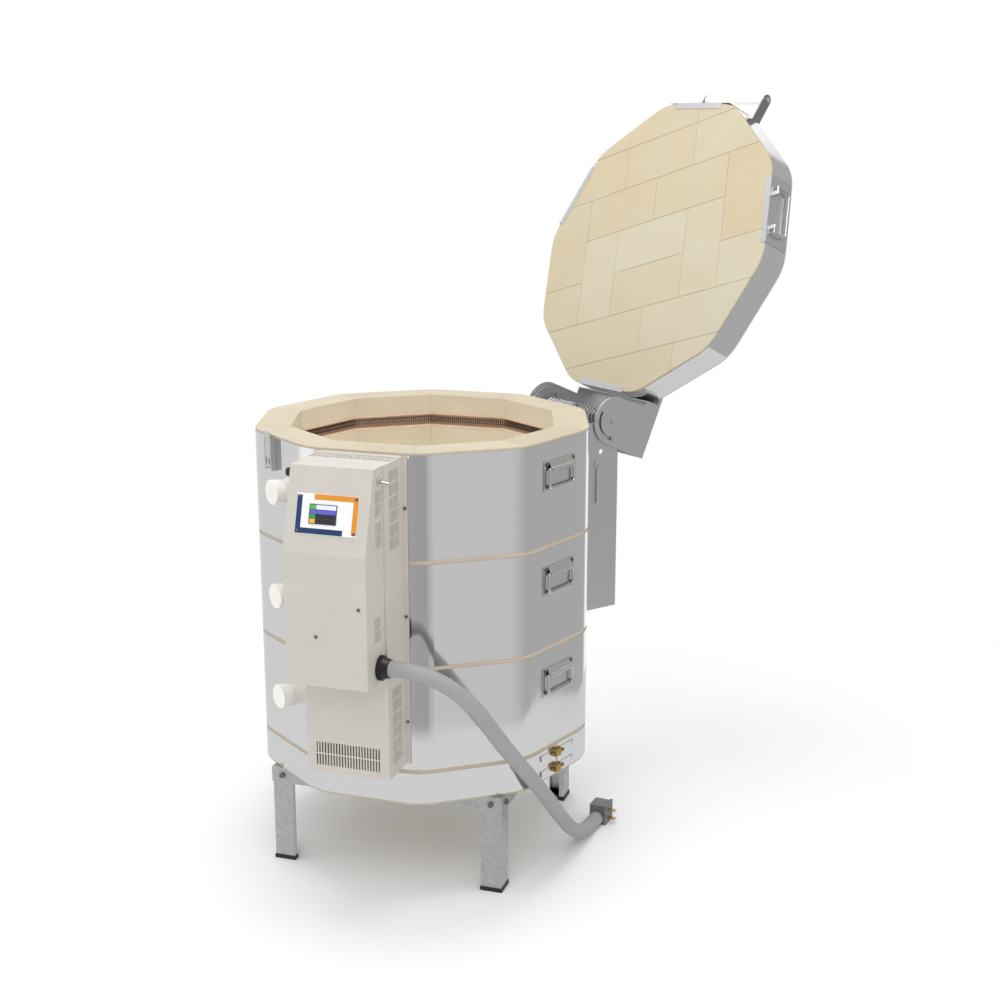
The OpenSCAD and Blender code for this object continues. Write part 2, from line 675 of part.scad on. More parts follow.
module hinge_lid_plate() color(zinc_colour) on_lid() {
  for (x = [-hinge_half, hinge_half - hinge_t]) across(x, x + hinge_t) moving_cheek_shape();
  translate([-hinge_half, tab_y, lid_top + cap_gap]) cube([2 * hinge_half, cheek_rear - tab_y, hinge_t]);
  translate([-hinge_half, nose_y, lid_z + nose_up])
    cube([2 * hinge_half, hinge_t, lid_t + cap_gap - nose_up + eps]);
}

module hinge_axle() color(steel_colour) translate([0, pivot_y, pivot_z]) rotate([0, 90, 0]) {
  translate([0, 0, -hinge_half - 1]) cylinder(d = axle_d, h = 2 * hinge_half + 2);
  for (z = [-hinge_half - 5, hinge_half + 1]) translate([0, 0, z]) cylinder(d = axle_d + 4, h = 4, $fn = 6);
  for (z = [-hinge_half + hinge_t + 0.3, fixed_out + 0.3])
    translate([0, 0, z]) cylinder(d = axle_d + 12, h = cheek_gap - 0.6);
  for (z = [-spring_end, spring_start - hub_over]) translate([0, 0, z])
    cylinder(d = hub_d, h = spring_end - spring_start + hub_over);
}

spring_steps = 8;
spring_start = 8;
spring_end = fixed_out - hinge_t - 6;
spring_pitch = (spring_end - spring_start - 2) / spring_curls;
spring_tail = 30;
hub_over = 3;
hub_gap = 0.3;
hub_d = spring_d * cos(180 / spring_steps) - spring_wire - 2 * hub_gap;
function spring_curl(side) = let (r = spring_d / 2)
  [for (k = [0 : spring_curls * spring_steps]) let (a = 360 * k / spring_steps)
    [side * (spring_start + spring_pitch * k / spring_steps), pivot_y + r * cos(a), pivot_z + r * sin(a)]];
function spring_path(side) = let (c = spring_curl(side), n = len(c) - 1) concat(
  [c[0] + [0, 0, -spring_tail], c[0] + [0, 0, -spring_wire]], c,
  [c[n] + [0, 0, spring_wire], c[n] + [0, 0, spring_tail]]);
function least_gap(p, wire, apart) = min([for (i = [0 : len(p) - 1], j = [i + apart : 1 : len(p) - 1])
  norm(p[i] - p[j])]) - wire;
echo(str("least gap in a hinge spring: ", least_gap(spring_curl(1), spring_wire, spring_steps - 2), " mm"));
module hinge_springs() color(steel_colour)
  for (s = [-1, 1]) tube(spring_path(s), spring_wire / 2, 6, [1, 0, 0]);

ring_drop = ring_r - ring_wire / 2 - stud_d / 2 - stub_gap;
pin_top = ring_drop + ring_r;
module lock_pin() color(steel_colour) translate([fixed_out + stud_l / 2, pin_hang[0], pin_hang[1]]) {
  translate([0, 0, -ring_drop]) rotate([0, 90, 0]) rotate_extrude($fn = 32)
    translate([ring_r, 0]) circle(d = ring_wire, $fn = 16);
  translate([0, 0, -pin_top - 5]) cylinder(d = pin_d - 2, h = 7);
  translate([0, 0, -pin_top - pin_len + 3]) cylinder(d = pin_d, h = pin_len - 8 + eps);
  translate([0, 0, -pin_top - pin_len]) cylinder(d1 = pin_d - 4, d2 = pin_d, h = 3 + eps);
}

// Lid: brick slab, band, edge brackets and front handle, all drawn shut
module lid_slab() color(brick_colour) on_lid() translate([0, 0, lid_z]) linear_extrude(lid_t) outline();
module lid_band() color(steel_colour) on_lid() band(lid_z + jacket_short, lid_top - jacket_short);

strip_d = 12;
bracket_w = 162;
bracket_plate_w = 168;
bracket_plate_h = 68;
lid_plate_r = skin_r + jacket_gap;
module bracket(plate_w, plate_h) {
  translate([lid_plate_r, 0, lid_z - strip_t]) slab_box(strip_t, plate_w, plate_h + strip_t);
  translate([brick_r - strip_d, 0, lid_z - strip_t])
    slab_box(lid_plate_r - brick_r + strip_d + eps, bracket_w, strip_t);
}
lid_bail_half = 56;
lid_bail_drop = 40;
lid_bail_z = lid_z + 17;
lug_w = 9;
module lid_lugs() for (s = [-1, 1])
  translate([lid_plate_r + strip_t - eps, s * (lid_bail_half - stub_len + 2) - lug_w / 2, lid_bail_z]) {
  difference() {
    union() {
      translate([0, 0, -knuckle_r]) cube([bail_stand, lug_w, 2 * knuckle_r]);
      translate([bail_stand, 0, 0]) rotate([-90, 0, 0]) cylinder(r = knuckle_r, h = lug_w);
    }
    translate([bail_stand, -1, 0]) rotate([-90, 0, 0]) cylinder(r = bail_rod / 2 + stub_gap, h = lug_w + 2);
  }
}
module lid_brackets() color(zinc_colour) on_lid() {
  for (a = [lid_side, 180 - lid_side]) rotate([0, 0, a]) {
    bracket(bracket_plate_w, bracket_plate_h);
    lid_lugs();
  }
  rotate([0, 0, 90]) bracket(bracket_w, lid_t - 4);
  rotate([0, 0, front]) bracket(2 * grip_half + 4, lid_t - 2);
}
module lid_bail(a) color(chrome_colour) on_lid()
  on_facet(a, lid_plate_r + strip_t + bail_stand, lid_bail_z) mirror([0, 0, 1])
    bail(lid_bail_half, lid_bail_drop);
module lid_bail_right() lid_bail(lid_side);
module lid_bail_left() lid_bail(180 - lid_side);

grip_y = -brick_r - grip_out;
grip_z = lid_top + grip_up;
arm_t2 = 3;
arm_foot_t = 2.5;
grip_screw_d = 7;
module arm_shape() difference() {
  hull() {
    translate([grip_y, grip_z]) circle(d = arm_w, $fn = 32);
    translate([-brick_r + 22, lid_top + 18]) circle(d = arm_w, $fn = 32);
  }
  translate([grip_y, grip_z]) circle(d = grip_screw_d, $fn = 32);
}
module arm_leg_shape() translate([-brick_r + 14, lid_top]) square([32, 20]);
module lid_handle_arms() color(zinc_colour) on_lid() for (s = [-1, 1]) {
  x0 = s > 0 ? grip_half : -grip_half - arm_t2;
  difference() {
    across(x0, x0 + arm_t2) union() { arm_shape(); arm_leg_shape(); }
    translate([x0 - 1, -big, lid_top - 20]) cube([arm_t2 + 2, 2 * big, 20]);
  }
  translate([s > 0 ? grip_half - 22 : -grip_half, -brick_r + 14, lid_top]) cube([22, 32, arm_foot_t]);
}
module lid_handle_grip() color(white_colour) on_lid() translate([0, grip_y, grip_z]) rotate([0, 90, 0])
  translate([0, 0, -grip_half + 0.3]) difference() {
    cylinder(d = grip_d, h = 2 * grip_half - 0.6);
    translate([0, 0, -1]) cylinder(d = grip_screw_d, h = 2 * grip_half + 2);
  }

// Screws of the lid: the rod through the handle tube, the feet of its arms and the hinge plate
arm_screws = [18, 32];
module lid_screws() color(steel_colour) on_lid() {
  translate([-grip_half - arm_t2 - jacket_gap, grip_y, grip_z]) rotate([0, 90, 0])
    cylinder(d = grip_screw_d - 0.4, h = 2 * (grip_half + arm_t2 + jacket_gap));
  for (s = [-1, 1]) {
    translate([s * (grip_half + arm_t2 + jacket_gap), grip_y, grip_z]) rotate([0, 90 * s, 0])
      cylinder(d = 13, h = 5);
    for (y = arm_screws) translate([s * (grip_half - 11), y - brick_r, lid_top + arm_foot_t + 0.1])
      cylinder(d = 8, h = 3);
    for (x = [30, 95]) translate([s * x, tab_y + 14, lid_top + cap_gap + hinge_t + 0.1])
      cylinder(d = 10, h = 3.5);
  }
}

// Element box and control box on their facet, drawn with X outward from the jacket and Z from the floor
box_top = rim_z - box_drop;
ebox_bottom = box_top - ebox_h;
cbox_bottom = box_top - cbox_h;
cbox_r = box_r + ebox_d;
win_h = 55;
win_rows = 2;
win_slots = 8;
front_slots = 23;
cwin_slots = 5;
slot_h = 24;
slot_bar = 3;
vent_slots = 28;
vent_h = 12;
vent_in = 12;

// A field of upright slots in Y and Z, rows stacked downwards from z = 0
module slot_field(count, rows, h = slot_h) for (c = [0 : count - 1], r = [0 : rows - 1])
  translate([(c - (count - 1) / 2) * slot_pitch - slot_w / 2, -(r + 1) * (h + slot_bar)])
    square([slot_w, h]);

// Slots through both sides of a box
module side_slots(x, z, count, half) translate([x, 0, z]) rotate([90, 0, 0])
  translate([0, 0, -half - 2]) linear_extrude(2 * half + 4) slot_field(count, win_rows);

module element_box() color(panel_colour) on_facet(box_side, box_r) difference() {
  union() {
    translate([0, 0, ebox_bottom]) slab_box(ebox_d, 2 * ebox_half, ebox_h);
    translate([0, 0, ebox_bottom]) slab_box(box_t, 2 * (ebox_half + ebox_flange), ebox_h);
  }
  translate([-1, 0, ebox_bottom + box_t])
    slab_box(ebox_d + 1 - box_t, 2 * (ebox_half - box_t), ebox_h - 2 * box_t);
  for (k = [0 : 2]) side_slots(ebox_d / 2, box_top - 14 - k * (win_h + 1), win_slots, ebox_half);
  for (k = [0 : 2]) side_slots(ebox_d / 2, ebox_bottom + 192 - k * (win_h + 1), win_slots, ebox_half);
  translate([ebox_d - 2 * box_t, 0, ebox_bottom + 70]) rotate([90, 0, 90]) linear_extrude(4 * box_t)
    slot_field(front_slots, 2);
  translate([ebox_d - 2 * box_t, 0, box_top - 250]) slab_box(4 * box_t, 60, 60);
  translate([vent_in, 0, box_top - 2 * box_t]) rotate(90) linear_extrude(4 * box_t)
    slot_field(vent_slots, 3, vent_h);
}

// Side outline of the control box, drawn in X and Z, shrunk by g
module cbox_shape(g) {
  a = atan((cbox_kink_d - cbox_top_d) / cbox_kink);
  polygon([[-1, box_top - g], [cbox_top_d - g * (1 - sin(a)) / cos(a), box_top - g],
    [cbox_kink_d - g, box_top - cbox_kink - g * tan(a / 2)], [cbox_kink_d - g, cbox_bottom + g],
      [-1, cbox_bottom + g]]);
}
face_t = 1.5;
face_gap = 0.1;
screen_off = -8;
slope = atan((cbox_kink_d - cbox_top_d) / cbox_kink);
module control_box() color(panel_colour) on_facet(box_side, cbox_r) difference() {
  rotate([90, 0, 0]) translate([0, 0, -cbox_half]) linear_extrude(2 * cbox_half) cbox_shape(0);
  rotate([90, 0, 0]) translate([0, 0, -cbox_half + box_t])
    linear_extrude(2 * (cbox_half - box_t)) cbox_shape(box_t);
  translate([-2, 0, cbox_bottom - 1]) slab_box(2 + jacket_gap, 2 * cbox_half + 2, cbox_h + 2);
  for (k = [0, 1]) side_slots(24, box_top - 42 - k * 64, cwin_slots, cbox_half);
  side_slots(38, box_top - 296, cwin_slots, cbox_half);
  on_slope(face_drop + face_h / 2) translate([-4, screen_off, -screen_h / 2])
    slab_box(8, screen_w, screen_h);
  translate([toggle_x, cbox_half - box_t - 1, toggle_z]) rotate([-90, 0, 0])
    cylinder(d = toggle_hole_d, h = box_t + 2);
  translate([fuse_x, -cbox_half - 1, fuse_z]) rotate([-90, 0, 0]) cylinder(d = fuse_hole_d, h = box_t + 2);
  translate([gland_x, cbox_half - box_t - 1, gland_z]) rotate([-90, 0, 0])
    cylinder(d = gland_hole_d, h = box_t + 2);
}

// Place children on the sloping front: local X is its outward normal and Z runs up the slope
module on_slope(drop) translate([cbox_top_d, 0, box_top]) rotate([0, -slope, 0])
  translate([0, 0, -drop]) children();

module faceplate() color([0.9, 0.9, 0.88]) on_facet(box_side, cbox_r) on_slope(face_drop + face_h / 2)
  difference() {
    translate([face_gap, 0, -face_h / 2]) slab_box(face_t, face_w, face_h);
    translate([-1, screen_off, -screen_h / 2 + 2]) slab_box(4, screen_w - 4, screen_h - 4);
    for (s = [-1, 1], r = [-1, 1]) translate([-1, s * (face_w / 2 - 6), r * (face_h / 2 - 6)])
      rotate([0, 90, 0])
      cylinder(d = 3.6, h = 4, $fn = 24);
  }
module touch_screen() color([0.1, 0.11, 0.13]) on_facet(box_side, cbox_r) on_slope(face_drop + face_h / 2)
  translate([face_gap + face_t, screen_off, -screen_h / 2]) slab_box(1.6, screen_w, screen_h);

toggle_x = 22;
toggle_z = box_top - 27;
toggle_hole_d = 12.4;
toggle_rest = toggle_swing / 2;
toggle_ball_d = 5.4;
toggle_pin_d = 2.4;
toggle_pin_l = 6.2;
module toggle_bushing() color(chrome_colour) on_facet(box_side, cbox_r)
  translate([toggle_x, cbox_half, toggle_z]) rotate([-90, 0, 0]) {
  difference() {
    translate([0, 0, -10]) cylinder(d = 12, h = 16);
    cylinder(d = toggle_pin_l + 0.4, h = 7);
  }
  translate([0, 0, 0.1]) difference() {
    cylinder(d = 17, h = 3, $fn = 6);
    translate([0, 0, -1]) cylinder(d = 11, h = 5);
  }
}
module toggle_lever() color(chrome_colour) on_facet(box_side, cbox_r)
  translate([toggle_x, cbox_half + 3, toggle_z])
  rotate([-90 - toggle_rest, 0, 0]) {
    sphere(d = toggle_ball_d);
    translate([-toggle_pin_l / 2, 0, 0]) rotate([0, 90, 0]) cylinder(d = toggle_pin_d, h = toggle_pin_l);
    cylinder(d1 = 3.6, d2 = 6, h = toggle_len);
    translate([0, 0, toggle_len]) sphere(d = 6);
  }

fuse_x = 34;
fuse_z = box_top - 18;
fuse_hole_d = 14.4;
module fuse_cap() color(black_colour) on_facet(box_side, cbox_r)
  translate([fuse_x, -cbox_half, fuse_z]) rotate([90, 0, 0]) {
  translate([0, 0, 0.1]) cylinder(d = fuse_d, h = 4);
  translate([0, 0, 4]) cylinder(d1 = fuse_d - 3, d2 = fuse_d - 5, h = 8);
  translate([0, 0, -22]) cylinder(d = 14, h = 23);
}

// Cord gland, cord and plug
gland_x = 30;
gland_z = rim_z - gland_drop;
gland_hole_d = 38;
rib_count = 18;
// Clearance of a tilted cord end from what it meets
cord_tilt_gap = 1;
module cord_gland() color(black_colour) on_facet(box_side, cbox_r)
  translate([gland_x, cbox_half, gland_z]) rotate([-90, 0, 0]) {
  difference() {
    union() {
      translate([0, 0, -12]) cylinder(d = gland_hole_d - 0.4, h = 13);
      translate([0, 0, 0.1]) cylinder(d = gland_d, h = 9);
      translate([0, 0, 9]) cylinder(d1 = gland_d - 2, d2 = gland_d - 10, h = gland_len - 9);
      for (k = [0 : rib_count - 1]) rotate(360 * k / rib_count)
        translate([gland_d / 2 - 2, -1.6, 0.1]) cube([3.4, 3.2, 8.9]);
    }
    translate([0, 0, -13]) cylinder(d = cord_d + 0.6, h = gland_len + 14);
  }
  translate([0, 0, -12]) cylinder(d = cord_d, h = 12 + gland_len - cord_tilt_gap);
}

// Points of the cord's middle line, from the gland to the plug on the floor
cord_route = [
  [377, -331.8, 574], [418, -302, 573], [450, -267, 556], [469, -229, 525], [475, -190, 482],
  [469, -152, 433], [456, -112, 384], [441, -70, 336], [426, -28, 289], [410, 14, 242],
  [393, 54, 196], [374, 93, 150], [353, 133, 106], [328, 174, 67], [299, 219, 37],
  [268, 268, 20], [239, 318, 17]
];
module power_cord() color(cord_colour) tube(cord_route, cord_d / 2, 12);

plug_end = cord_route[len(cord_route) - 1];
plug_dir = heading(cord_route, len(cord_route) - 1);
plug_angle = atan2(plug_dir[1], plug_dir[0]);
plug_len = 52;
blade_w = 12;
blade_t = 1.6;
blade_l = 18;
module at_plug() translate([plug_end[0], plug_end[1], 0]) rotate([0, 0, plug_angle]) children();
module power_plug() color(cord_colour) at_plug() difference() {
  union() {
    translate([cord_tilt_gap, 0, cord_d / 2 + 0.5]) rotate([0, 90, 0]) cylinder(d = cord_d - 1, h = 12);
    translate([10, -plug_t / 2, 0]) cube([plug_len - 10, plug_t, plug_w]);
    translate([6, -plug_t / 2 - 2, 0]) cube([plug_len - 4, 6, plug_w + 2]);
  }
  for (z = [plug_w * 0.28, plug_w * 0.72])
    translate([plug_len / 2 - blade_w / 2, -plug_t / 2 - 3, z - blade_t / 2])
    cube([blade_w, 9, blade_t]);
}
module plug_blades() color(brass_colour) at_plug() for (z = [plug_w * 0.28, plug_w * 0.72])
  translate([plug_len / 2 - blade_w / 2, -plug_t / 2 - 2 - blade_l, z - blade_t / 2])
    cube([blade_w, blade_l + 8, blade_t]);

// Screws and bolts of the fixed parts
module screw_head(d, h) rotate([0, 90, 0]) cylinder(d = d, h = h);
module fasteners() color(steel_colour) {
  for (k = [0 : 3], s = [-1, 1]) rotate([0, 0, box_side + 90 * k])
    translate([stand_half, s * (stand_half - bolt_in), bolt_z]) rotate([0, 90, 0]) {
      translate([0, 0, -2 * steel_t - 10]) cylinder(d = bolt_d, h = 2 * steel_t + 11);
      cylinder(d = 13, h = 5.3, $fn = 6);
      translate([0, 0, -2 * steel_t - 6.5]) cylinder(d = 13, h = 6.5, $fn = 6);
    }
  for (i = [0 : ring_count - 1], a = [handle_side, handle_side + 180])
    on_facet(a, skin_r + jacket_gap, bail_z(i))
      for (s = [-1, 1], z = [-plate_axis + hole_in, plate_h - plate_axis - hole_in + 2])
        translate([0, s * (plate_w / 2 - hole_in), z]) {
          screw_head(4.6, plate_t + 0.5);
          translate([plate_t + 0.1, 0, 0]) screw_head(8.5, 2);
        }
  for (s = [-1, 1], z = [rim_z - 113, rim_z - 342, rim_z - 572])
    on_facet(box_side, box_r + box_t + 0.1, z)
      translate([0, s * (ebox_half + ebox_flange / 2), 0]) screw_head(7, 1.8);
  for (s = [-1, 1], z = [rim_z - 60, rim_z - 260, rim_z - 455])
    translate([s * 80, web_y + hinge_t + 0.1, z]) rotate([0, 0, 90]) screw_head(12, 4);
  on_facet(box_side, cbox_r) {
    on_slope(face_drop + face_h / 2) for (s = [-1, 1], r = [-1, 1])
      translate([face_gap + face_t + 0.1, s * (face_w / 2 - 6), r * (face_h / 2 - 6)]) screw_head(6, 1.4);
    for (p = [[-21, rim_z - 338], [71, rim_z - 274]])
      translate([cbox_kink_d + 0.1, p[0], p[1]]) screw_head(7, 1.6);
  }
}

// Electrics inside the boxes
block_w = 22;
block_h = row_pitch + 24;
module terminal_blocks() color(white_colour) for (i = [0 : ring_count - 1], s = [-1, 1])
  on_facet(box_side, box_r + jacket_gap, 0) translate([0, s * lead_half, 0]) difference() {
    translate([0, 0, row_z(i, 0) - row_pitch / 2 - block_h / 2]) slab_box(block_d, block_w, block_h);
    for (j = [0, 1]) translate([-1, 0, row_z(i, j)]) rotate([0, 90, 0])
      cylinder(d = lead_d + 2 * element_gap, h = block_d + 2);
  }
relay_drop = 360;
relay_pitch = 56;
relay_d = 38;
relay_w = 46;
relay_h = 62;
module relays() color(black_colour) on_facet(box_side, cbox_r + jacket_gap, box_top - relay_drop)
  for (k = [-1 : 1]) translate([0, k * relay_pitch, 0]) {
    slab_box(relay_d, relay_w, relay_h);
    for (z = [8, relay_h - 20]) translate([relay_d, 0, z]) slab_box(6, relay_w - 16, 12);
  }
board_back = 16;
board_t = 1.6;
module control_board() on_facet(box_side, cbox_r) on_slope(face_drop + face_h / 2) {
  color([0.1, 0.35, 0.18]) translate([-board_back, 0, -face_h / 2 + 3])
    slab_box(board_t, face_w - 10, face_h - 6);
  color(black_colour) translate([-board_back + board_t, 20, -20]) slab_box(8, 30, 26);
  color(steel_colour) for (s = [-1, 1], r = [-1, 1])
    translate([-board_back + board_t, s * (face_w / 2 - 12), r * (face_h / 2 - 9)]) rotate([0, 90, 0])
      cylinder(d = 6, h = board_back - board_t - box_t - face_gap);
}

stand_legs();
stand_bars();
leg_feet();
floor_slab();
floor_band();
clamp_straps();
clamp_screws();
ring_bricks_bottom();
ring_bricks_middle();
ring_bricks_top();
jacket_bottom();
jacket_middle();
jacket_top();
element_channels_bottom();
element_channels_middle();
element_channels_top();
elements_bottom();
elements_middle();
elements_top();
thermocouples();
plug_bottom();
plug_middle();
plug_top();
handle_plates();
bail_right_bottom();
bail_right_middle();
bail_right_top();
bail_left_bottom();
bail_left_middle();
bail_left_top();
latch_base();
latch_arm();
hinge_base();
hinge_axle();
hinge_springs();
hinge_lid_plate();
lock_pin();
lid_slab();
lid_band();
lid_brackets();
lid_bail_right();
lid_bail_left();
lid_handle_arms();
lid_handle_grip();
lid_screws();
element_box();
control_box();
faceplate();
touch_screen();
toggle_bushing();
toggle_lever();
fuse_cap();
cord_gland();
power_cord();
power_plug();
plug_blades();
fasteners();
terminal_blocks();
relays();
control_board();
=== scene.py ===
# %% [markdown]
# # A bead annealing kiln, dressed for its picture
# A top-loading kiln of three ten-sided brick rings in mirror-bright steel jackets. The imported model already
# holds every solid in its right place, so this lesson only adds what makes it look real: softened edges, wound
# elements, bricks in the lid, a power cord, and a finish for every material. Lengths are in metres.

# %% Load the frame and remember its box
import bpy
import bmesh
import json
import random
from math import pi, radians, tan
from mathutils import Matrix, Vector

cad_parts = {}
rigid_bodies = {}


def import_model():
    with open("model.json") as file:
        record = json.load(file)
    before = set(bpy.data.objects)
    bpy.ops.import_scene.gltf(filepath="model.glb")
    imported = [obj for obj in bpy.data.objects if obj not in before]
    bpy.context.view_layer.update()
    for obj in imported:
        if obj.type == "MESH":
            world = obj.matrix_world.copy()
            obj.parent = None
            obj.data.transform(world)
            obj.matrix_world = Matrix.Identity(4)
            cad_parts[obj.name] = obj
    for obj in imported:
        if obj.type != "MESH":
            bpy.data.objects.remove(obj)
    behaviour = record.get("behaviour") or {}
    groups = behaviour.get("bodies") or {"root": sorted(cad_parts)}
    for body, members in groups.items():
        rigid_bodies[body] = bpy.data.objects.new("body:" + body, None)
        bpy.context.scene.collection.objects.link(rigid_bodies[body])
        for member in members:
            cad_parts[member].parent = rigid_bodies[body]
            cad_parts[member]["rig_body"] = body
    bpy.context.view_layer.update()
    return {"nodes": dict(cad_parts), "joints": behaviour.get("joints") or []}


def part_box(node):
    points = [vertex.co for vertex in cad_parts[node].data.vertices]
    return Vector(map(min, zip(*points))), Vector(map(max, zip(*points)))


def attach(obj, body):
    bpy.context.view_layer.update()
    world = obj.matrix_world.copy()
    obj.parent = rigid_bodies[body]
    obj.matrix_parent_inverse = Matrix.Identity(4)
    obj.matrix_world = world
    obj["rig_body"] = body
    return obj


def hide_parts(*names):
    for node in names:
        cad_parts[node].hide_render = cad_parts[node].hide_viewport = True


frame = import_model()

MM = 0.001
nodes = frame["nodes"]
scene = bpy.context.scene

# %% [markdown]
# ## The camera
# The photograph was taken from the front right, a little above the rim. A 56 mm lens at about 3.4 m gives the
# same vanishing points. The place and the turn were found by matching corners of the rings, stand and lid.

# %% Camera
camera = bpy.data.objects.new("camera", bpy.data.cameras.new("camera"))
scene.collection.objects.link(camera)
camera.data.sensor_width = 36
camera.data.lens = 55.6
camera.location = (2.85585, -1.84907, 1.6353)
camera.rotation_euler = (radians(76.128), 0, radians(54.229))
scene.camera = camera
print("camera looks from", [round(v, 2) for v in camera.location])

# %% [markdown]
# ## Two small helpers
# Colours are easiest to read as the hex values of a paint card, but nodes want linear light, so one function turns
# one into the other. Another adds a node to a material: its settings are named, and its sockets take either a
# plain value or another node's output.

# %% Helpers for colours and nodes
def paint(hex_colour):
    """An sRGB hex colour as the linear colour that a node wants."""
    srgb = [int(hex_colour[i : i + 2], 16) / 255 for i in (1, 3, 5)]
    return (*[c / 12.92 if c <= 0.04045 else ((c + 0.055) / 1.055) ** 2.4 for c in srgb], 1.0)


def add(tree, kind, sockets=None, **settings):
    """Adds a node, sets its settings, and fills its sockets with values or with other nodes' outputs."""
    made = tree.nodes.new(kind)
    for name, value in settings.items():
        setattr(made, name, value)
    for name, value in (sockets or {}).items():
        if isinstance(value, bpy.types.NodeSocket):
            tree.links.new(value, made.inputs[name])
        else:
            made.inputs[name].default_value = value
    return made


def finish(name, **sockets):
    """A material with its shader's own sockets set, and its tree, shader and object coordinates."""
    made = bpy.data.materials.new(name)
    made.use_nodes = True
    shader = made.node_tree.nodes["Principled BSDF"]
    for socket, value in sockets.items():
        shader.inputs[socket.replace("_", " ")].default_value = value
    place = add(made.node_tree, "ShaderNodeTexCoord").outputs["Object"]
    return made, made.node_tree, shader, place


def per_mm(size):
    """The scale that gives a pattern features of this many millimetres."""
    return 1 / (size * MM)


print("paint card check, mid grey:", [round(c, 3) for c in paint("#808080")])

# %% [markdown]
# ## The power cord
# The real cord is a thick, stiff rubber lead. It leaves the ribbed gland low on the control box, drops past the
# rings and a leg of the stand, and ends in a large moulded plug. The points are the same route
# that the solid follows. A Bezier curve through them, with a round bevel, stays smooth at any zoom. The bevel is one
# metre deep and each knot scales it down to the cord's radius, so that the curve's box hugs the cord.

# %% Route of the cord
cord_points = [
    (377, -331.8, 574), (418, -302, 573), (450, -267, 556), (469, -229, 525), (475, -190, 482), (469, -152, 433),
    (456, -112, 384), (441, -70, 336), (426, -28, 289), (410, 14, 242), (393, 54, 196), (374, 93, 150),
    (353, 133, 106), (328, 174, 67), (299, 219, 37), (268, 268, 20), (239, 318, 17),
]
route = [Vector(p) * MM for p in cord_points]
cord_d = 33 * MM

cord_line = bpy.data.curves.new("power_lead", "CURVE")
cord_line.dimensions = "3D"
cord_line.bevel_depth = 1
cord_line.bevel_resolution = 8
cord_line.resolution_u = 12
cord_line.use_fill_caps = True
spline = cord_line.splines.new("BEZIER")
spline.bezier_points.add(len(route) - 1)
for knot, point in zip(spline.bezier_points, route):
    knot.co = point
    knot.handle_left_type = knot.handle_right_type = "AUTO"
    knot.radius = cord_d / 2
cord = bpy.data.objects.new("power_lead", cord_line)
scene.collection.objects.link(cord)
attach(cord, "kiln")
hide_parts("power_cord")

# %% [markdown]
# ## Floor, backdrop and light
# A catalogue picture stands on white paper that fades out of sight. The floor is a wide pale disc that keeps the
# soft shadow near the kiln and turns into plain white further out. The world is plain white to the camera and in
# reflections, and gives an even soft light, with two large soft lamps that shape the sides. A photographer of
# mirror-bright metal also stands grey cards round it, so that the metal has something to mirror: a ring of card
# does that here, seen by reflections alone.

# %% Floor
floor_mesh = bpy.data.meshes.new("studio_floor")
sheet = bmesh.new()
bmesh.ops.create_circle(sheet, cap_ends=True, segments=96, radius=9)
sheet.to_mesh(floor_mesh)
sheet.free()
floor = bpy.data.objects.new("studio_floor", floor_mesh)
scene.collection.objects.link(floor)
paper, tree, shader, place = finish("studio_paper", Base_Color=paint("#F7F7F7"), Roughness=0.9)
rays = add(tree, "ShaderNodeLightPath")
away = add(tree, "ShaderNodeVectorMath", {0: place}, operation="LENGTH")
fade_from, fade_to = 0.9, 2.4
fade = add(tree, "ShaderNodeMapRange", {"Value": away.outputs["Value"], "From Min": fade_from, "From Max": fade_to},
           interpolation_type="SMOOTHSTEP")
seen = add(tree, "ShaderNodeMath", {0: rays.outputs["Is Camera Ray"], 1: rays.outputs["Is Glossy Ray"]},
           operation="MAXIMUM")
share = add(tree, "ShaderNodeMath", {0: fade.outputs["Result"], 1: seen.outputs[0]}, operation="MULTIPLY")
white = add(tree, "ShaderNodeEmission", {"Color": paint("#FFFFFF"), "Strength": 1.0})
faded = add(tree, "ShaderNodeMixShader", {0: share.outputs[0], 1: shader.outputs[0], 2: white.outputs[0]})
mirrored = add(tree, "ShaderNodeMath", {0: rays.outputs["Is Glossy Ray"], 1: 0.85}, operation="MULTIPLY")
dim = add(tree, "ShaderNodeEmission", {"Color": paint("#CECECE"), "Strength": 1.0})
floor_look = add(tree, "ShaderNodeMixShader", {0: mirrored.outputs[0], 1: faded.outputs[0], 2: dim.outputs[0]})
tree.links.new(floor_look.outputs[0], tree.nodes["Material Output"].inputs["Surface"])
floor_mesh.materials.append(paper)
print("the floor turns white from", fade_from, "to", fade_to, "m out")

# %% World and lamps
world = bpy.data.worlds.new("studio")
scene.world = world
world.use_nodes = True
tree = world.node_tree
rays = add(tree, "ShaderNodeLightPath")
shown = add(tree, "ShaderNodeMath", {0: rays.outputs["Is Camera Ray"], 1: rays.outputs["Is Glossy Ray"]},
            operation="MAXIMUM")
shown = add(tree, "ShaderNodeMath", {0: shown.outputs[0], 1: rays.outputs["Is Transmission Ray"]},
            operation="MAXIMUM")
light = tree.nodes["Background"]
light.inputs["Color"].default_value = paint("#F9FAFD")
light.inputs["Strength"].default_value = 0.9
backdrop = add(tree, "ShaderNodeBackground", {"Color": paint("#FFFFFF"), "Strength": 1.0})
mixed = add(tree, "ShaderNodeMixShader", {0: shown.outputs[0], 1: light.outputs[0], 2: backdrop.outputs[0]})
tree.links.new(mixed.outputs[0], tree.nodes["World Output"].inputs["Surface"])


def softbox(name, place, aim, size, power):
    """A square area lamp that looks from its place to its aim."""
    lamp = bpy.data.objects.new(name, bpy.data.lights.new(name, "AREA"))
    lamp.data.shape = "SQUARE"
    lamp.data.size = size
    lamp.data.energy = power
    lamp.location = place
    lamp.rotation_euler = (Vector(aim) - Vector(place)).to_track_quat("-Z", "Y").to_euler()
    scene.collection.objects.link(lamp)
    return lamp


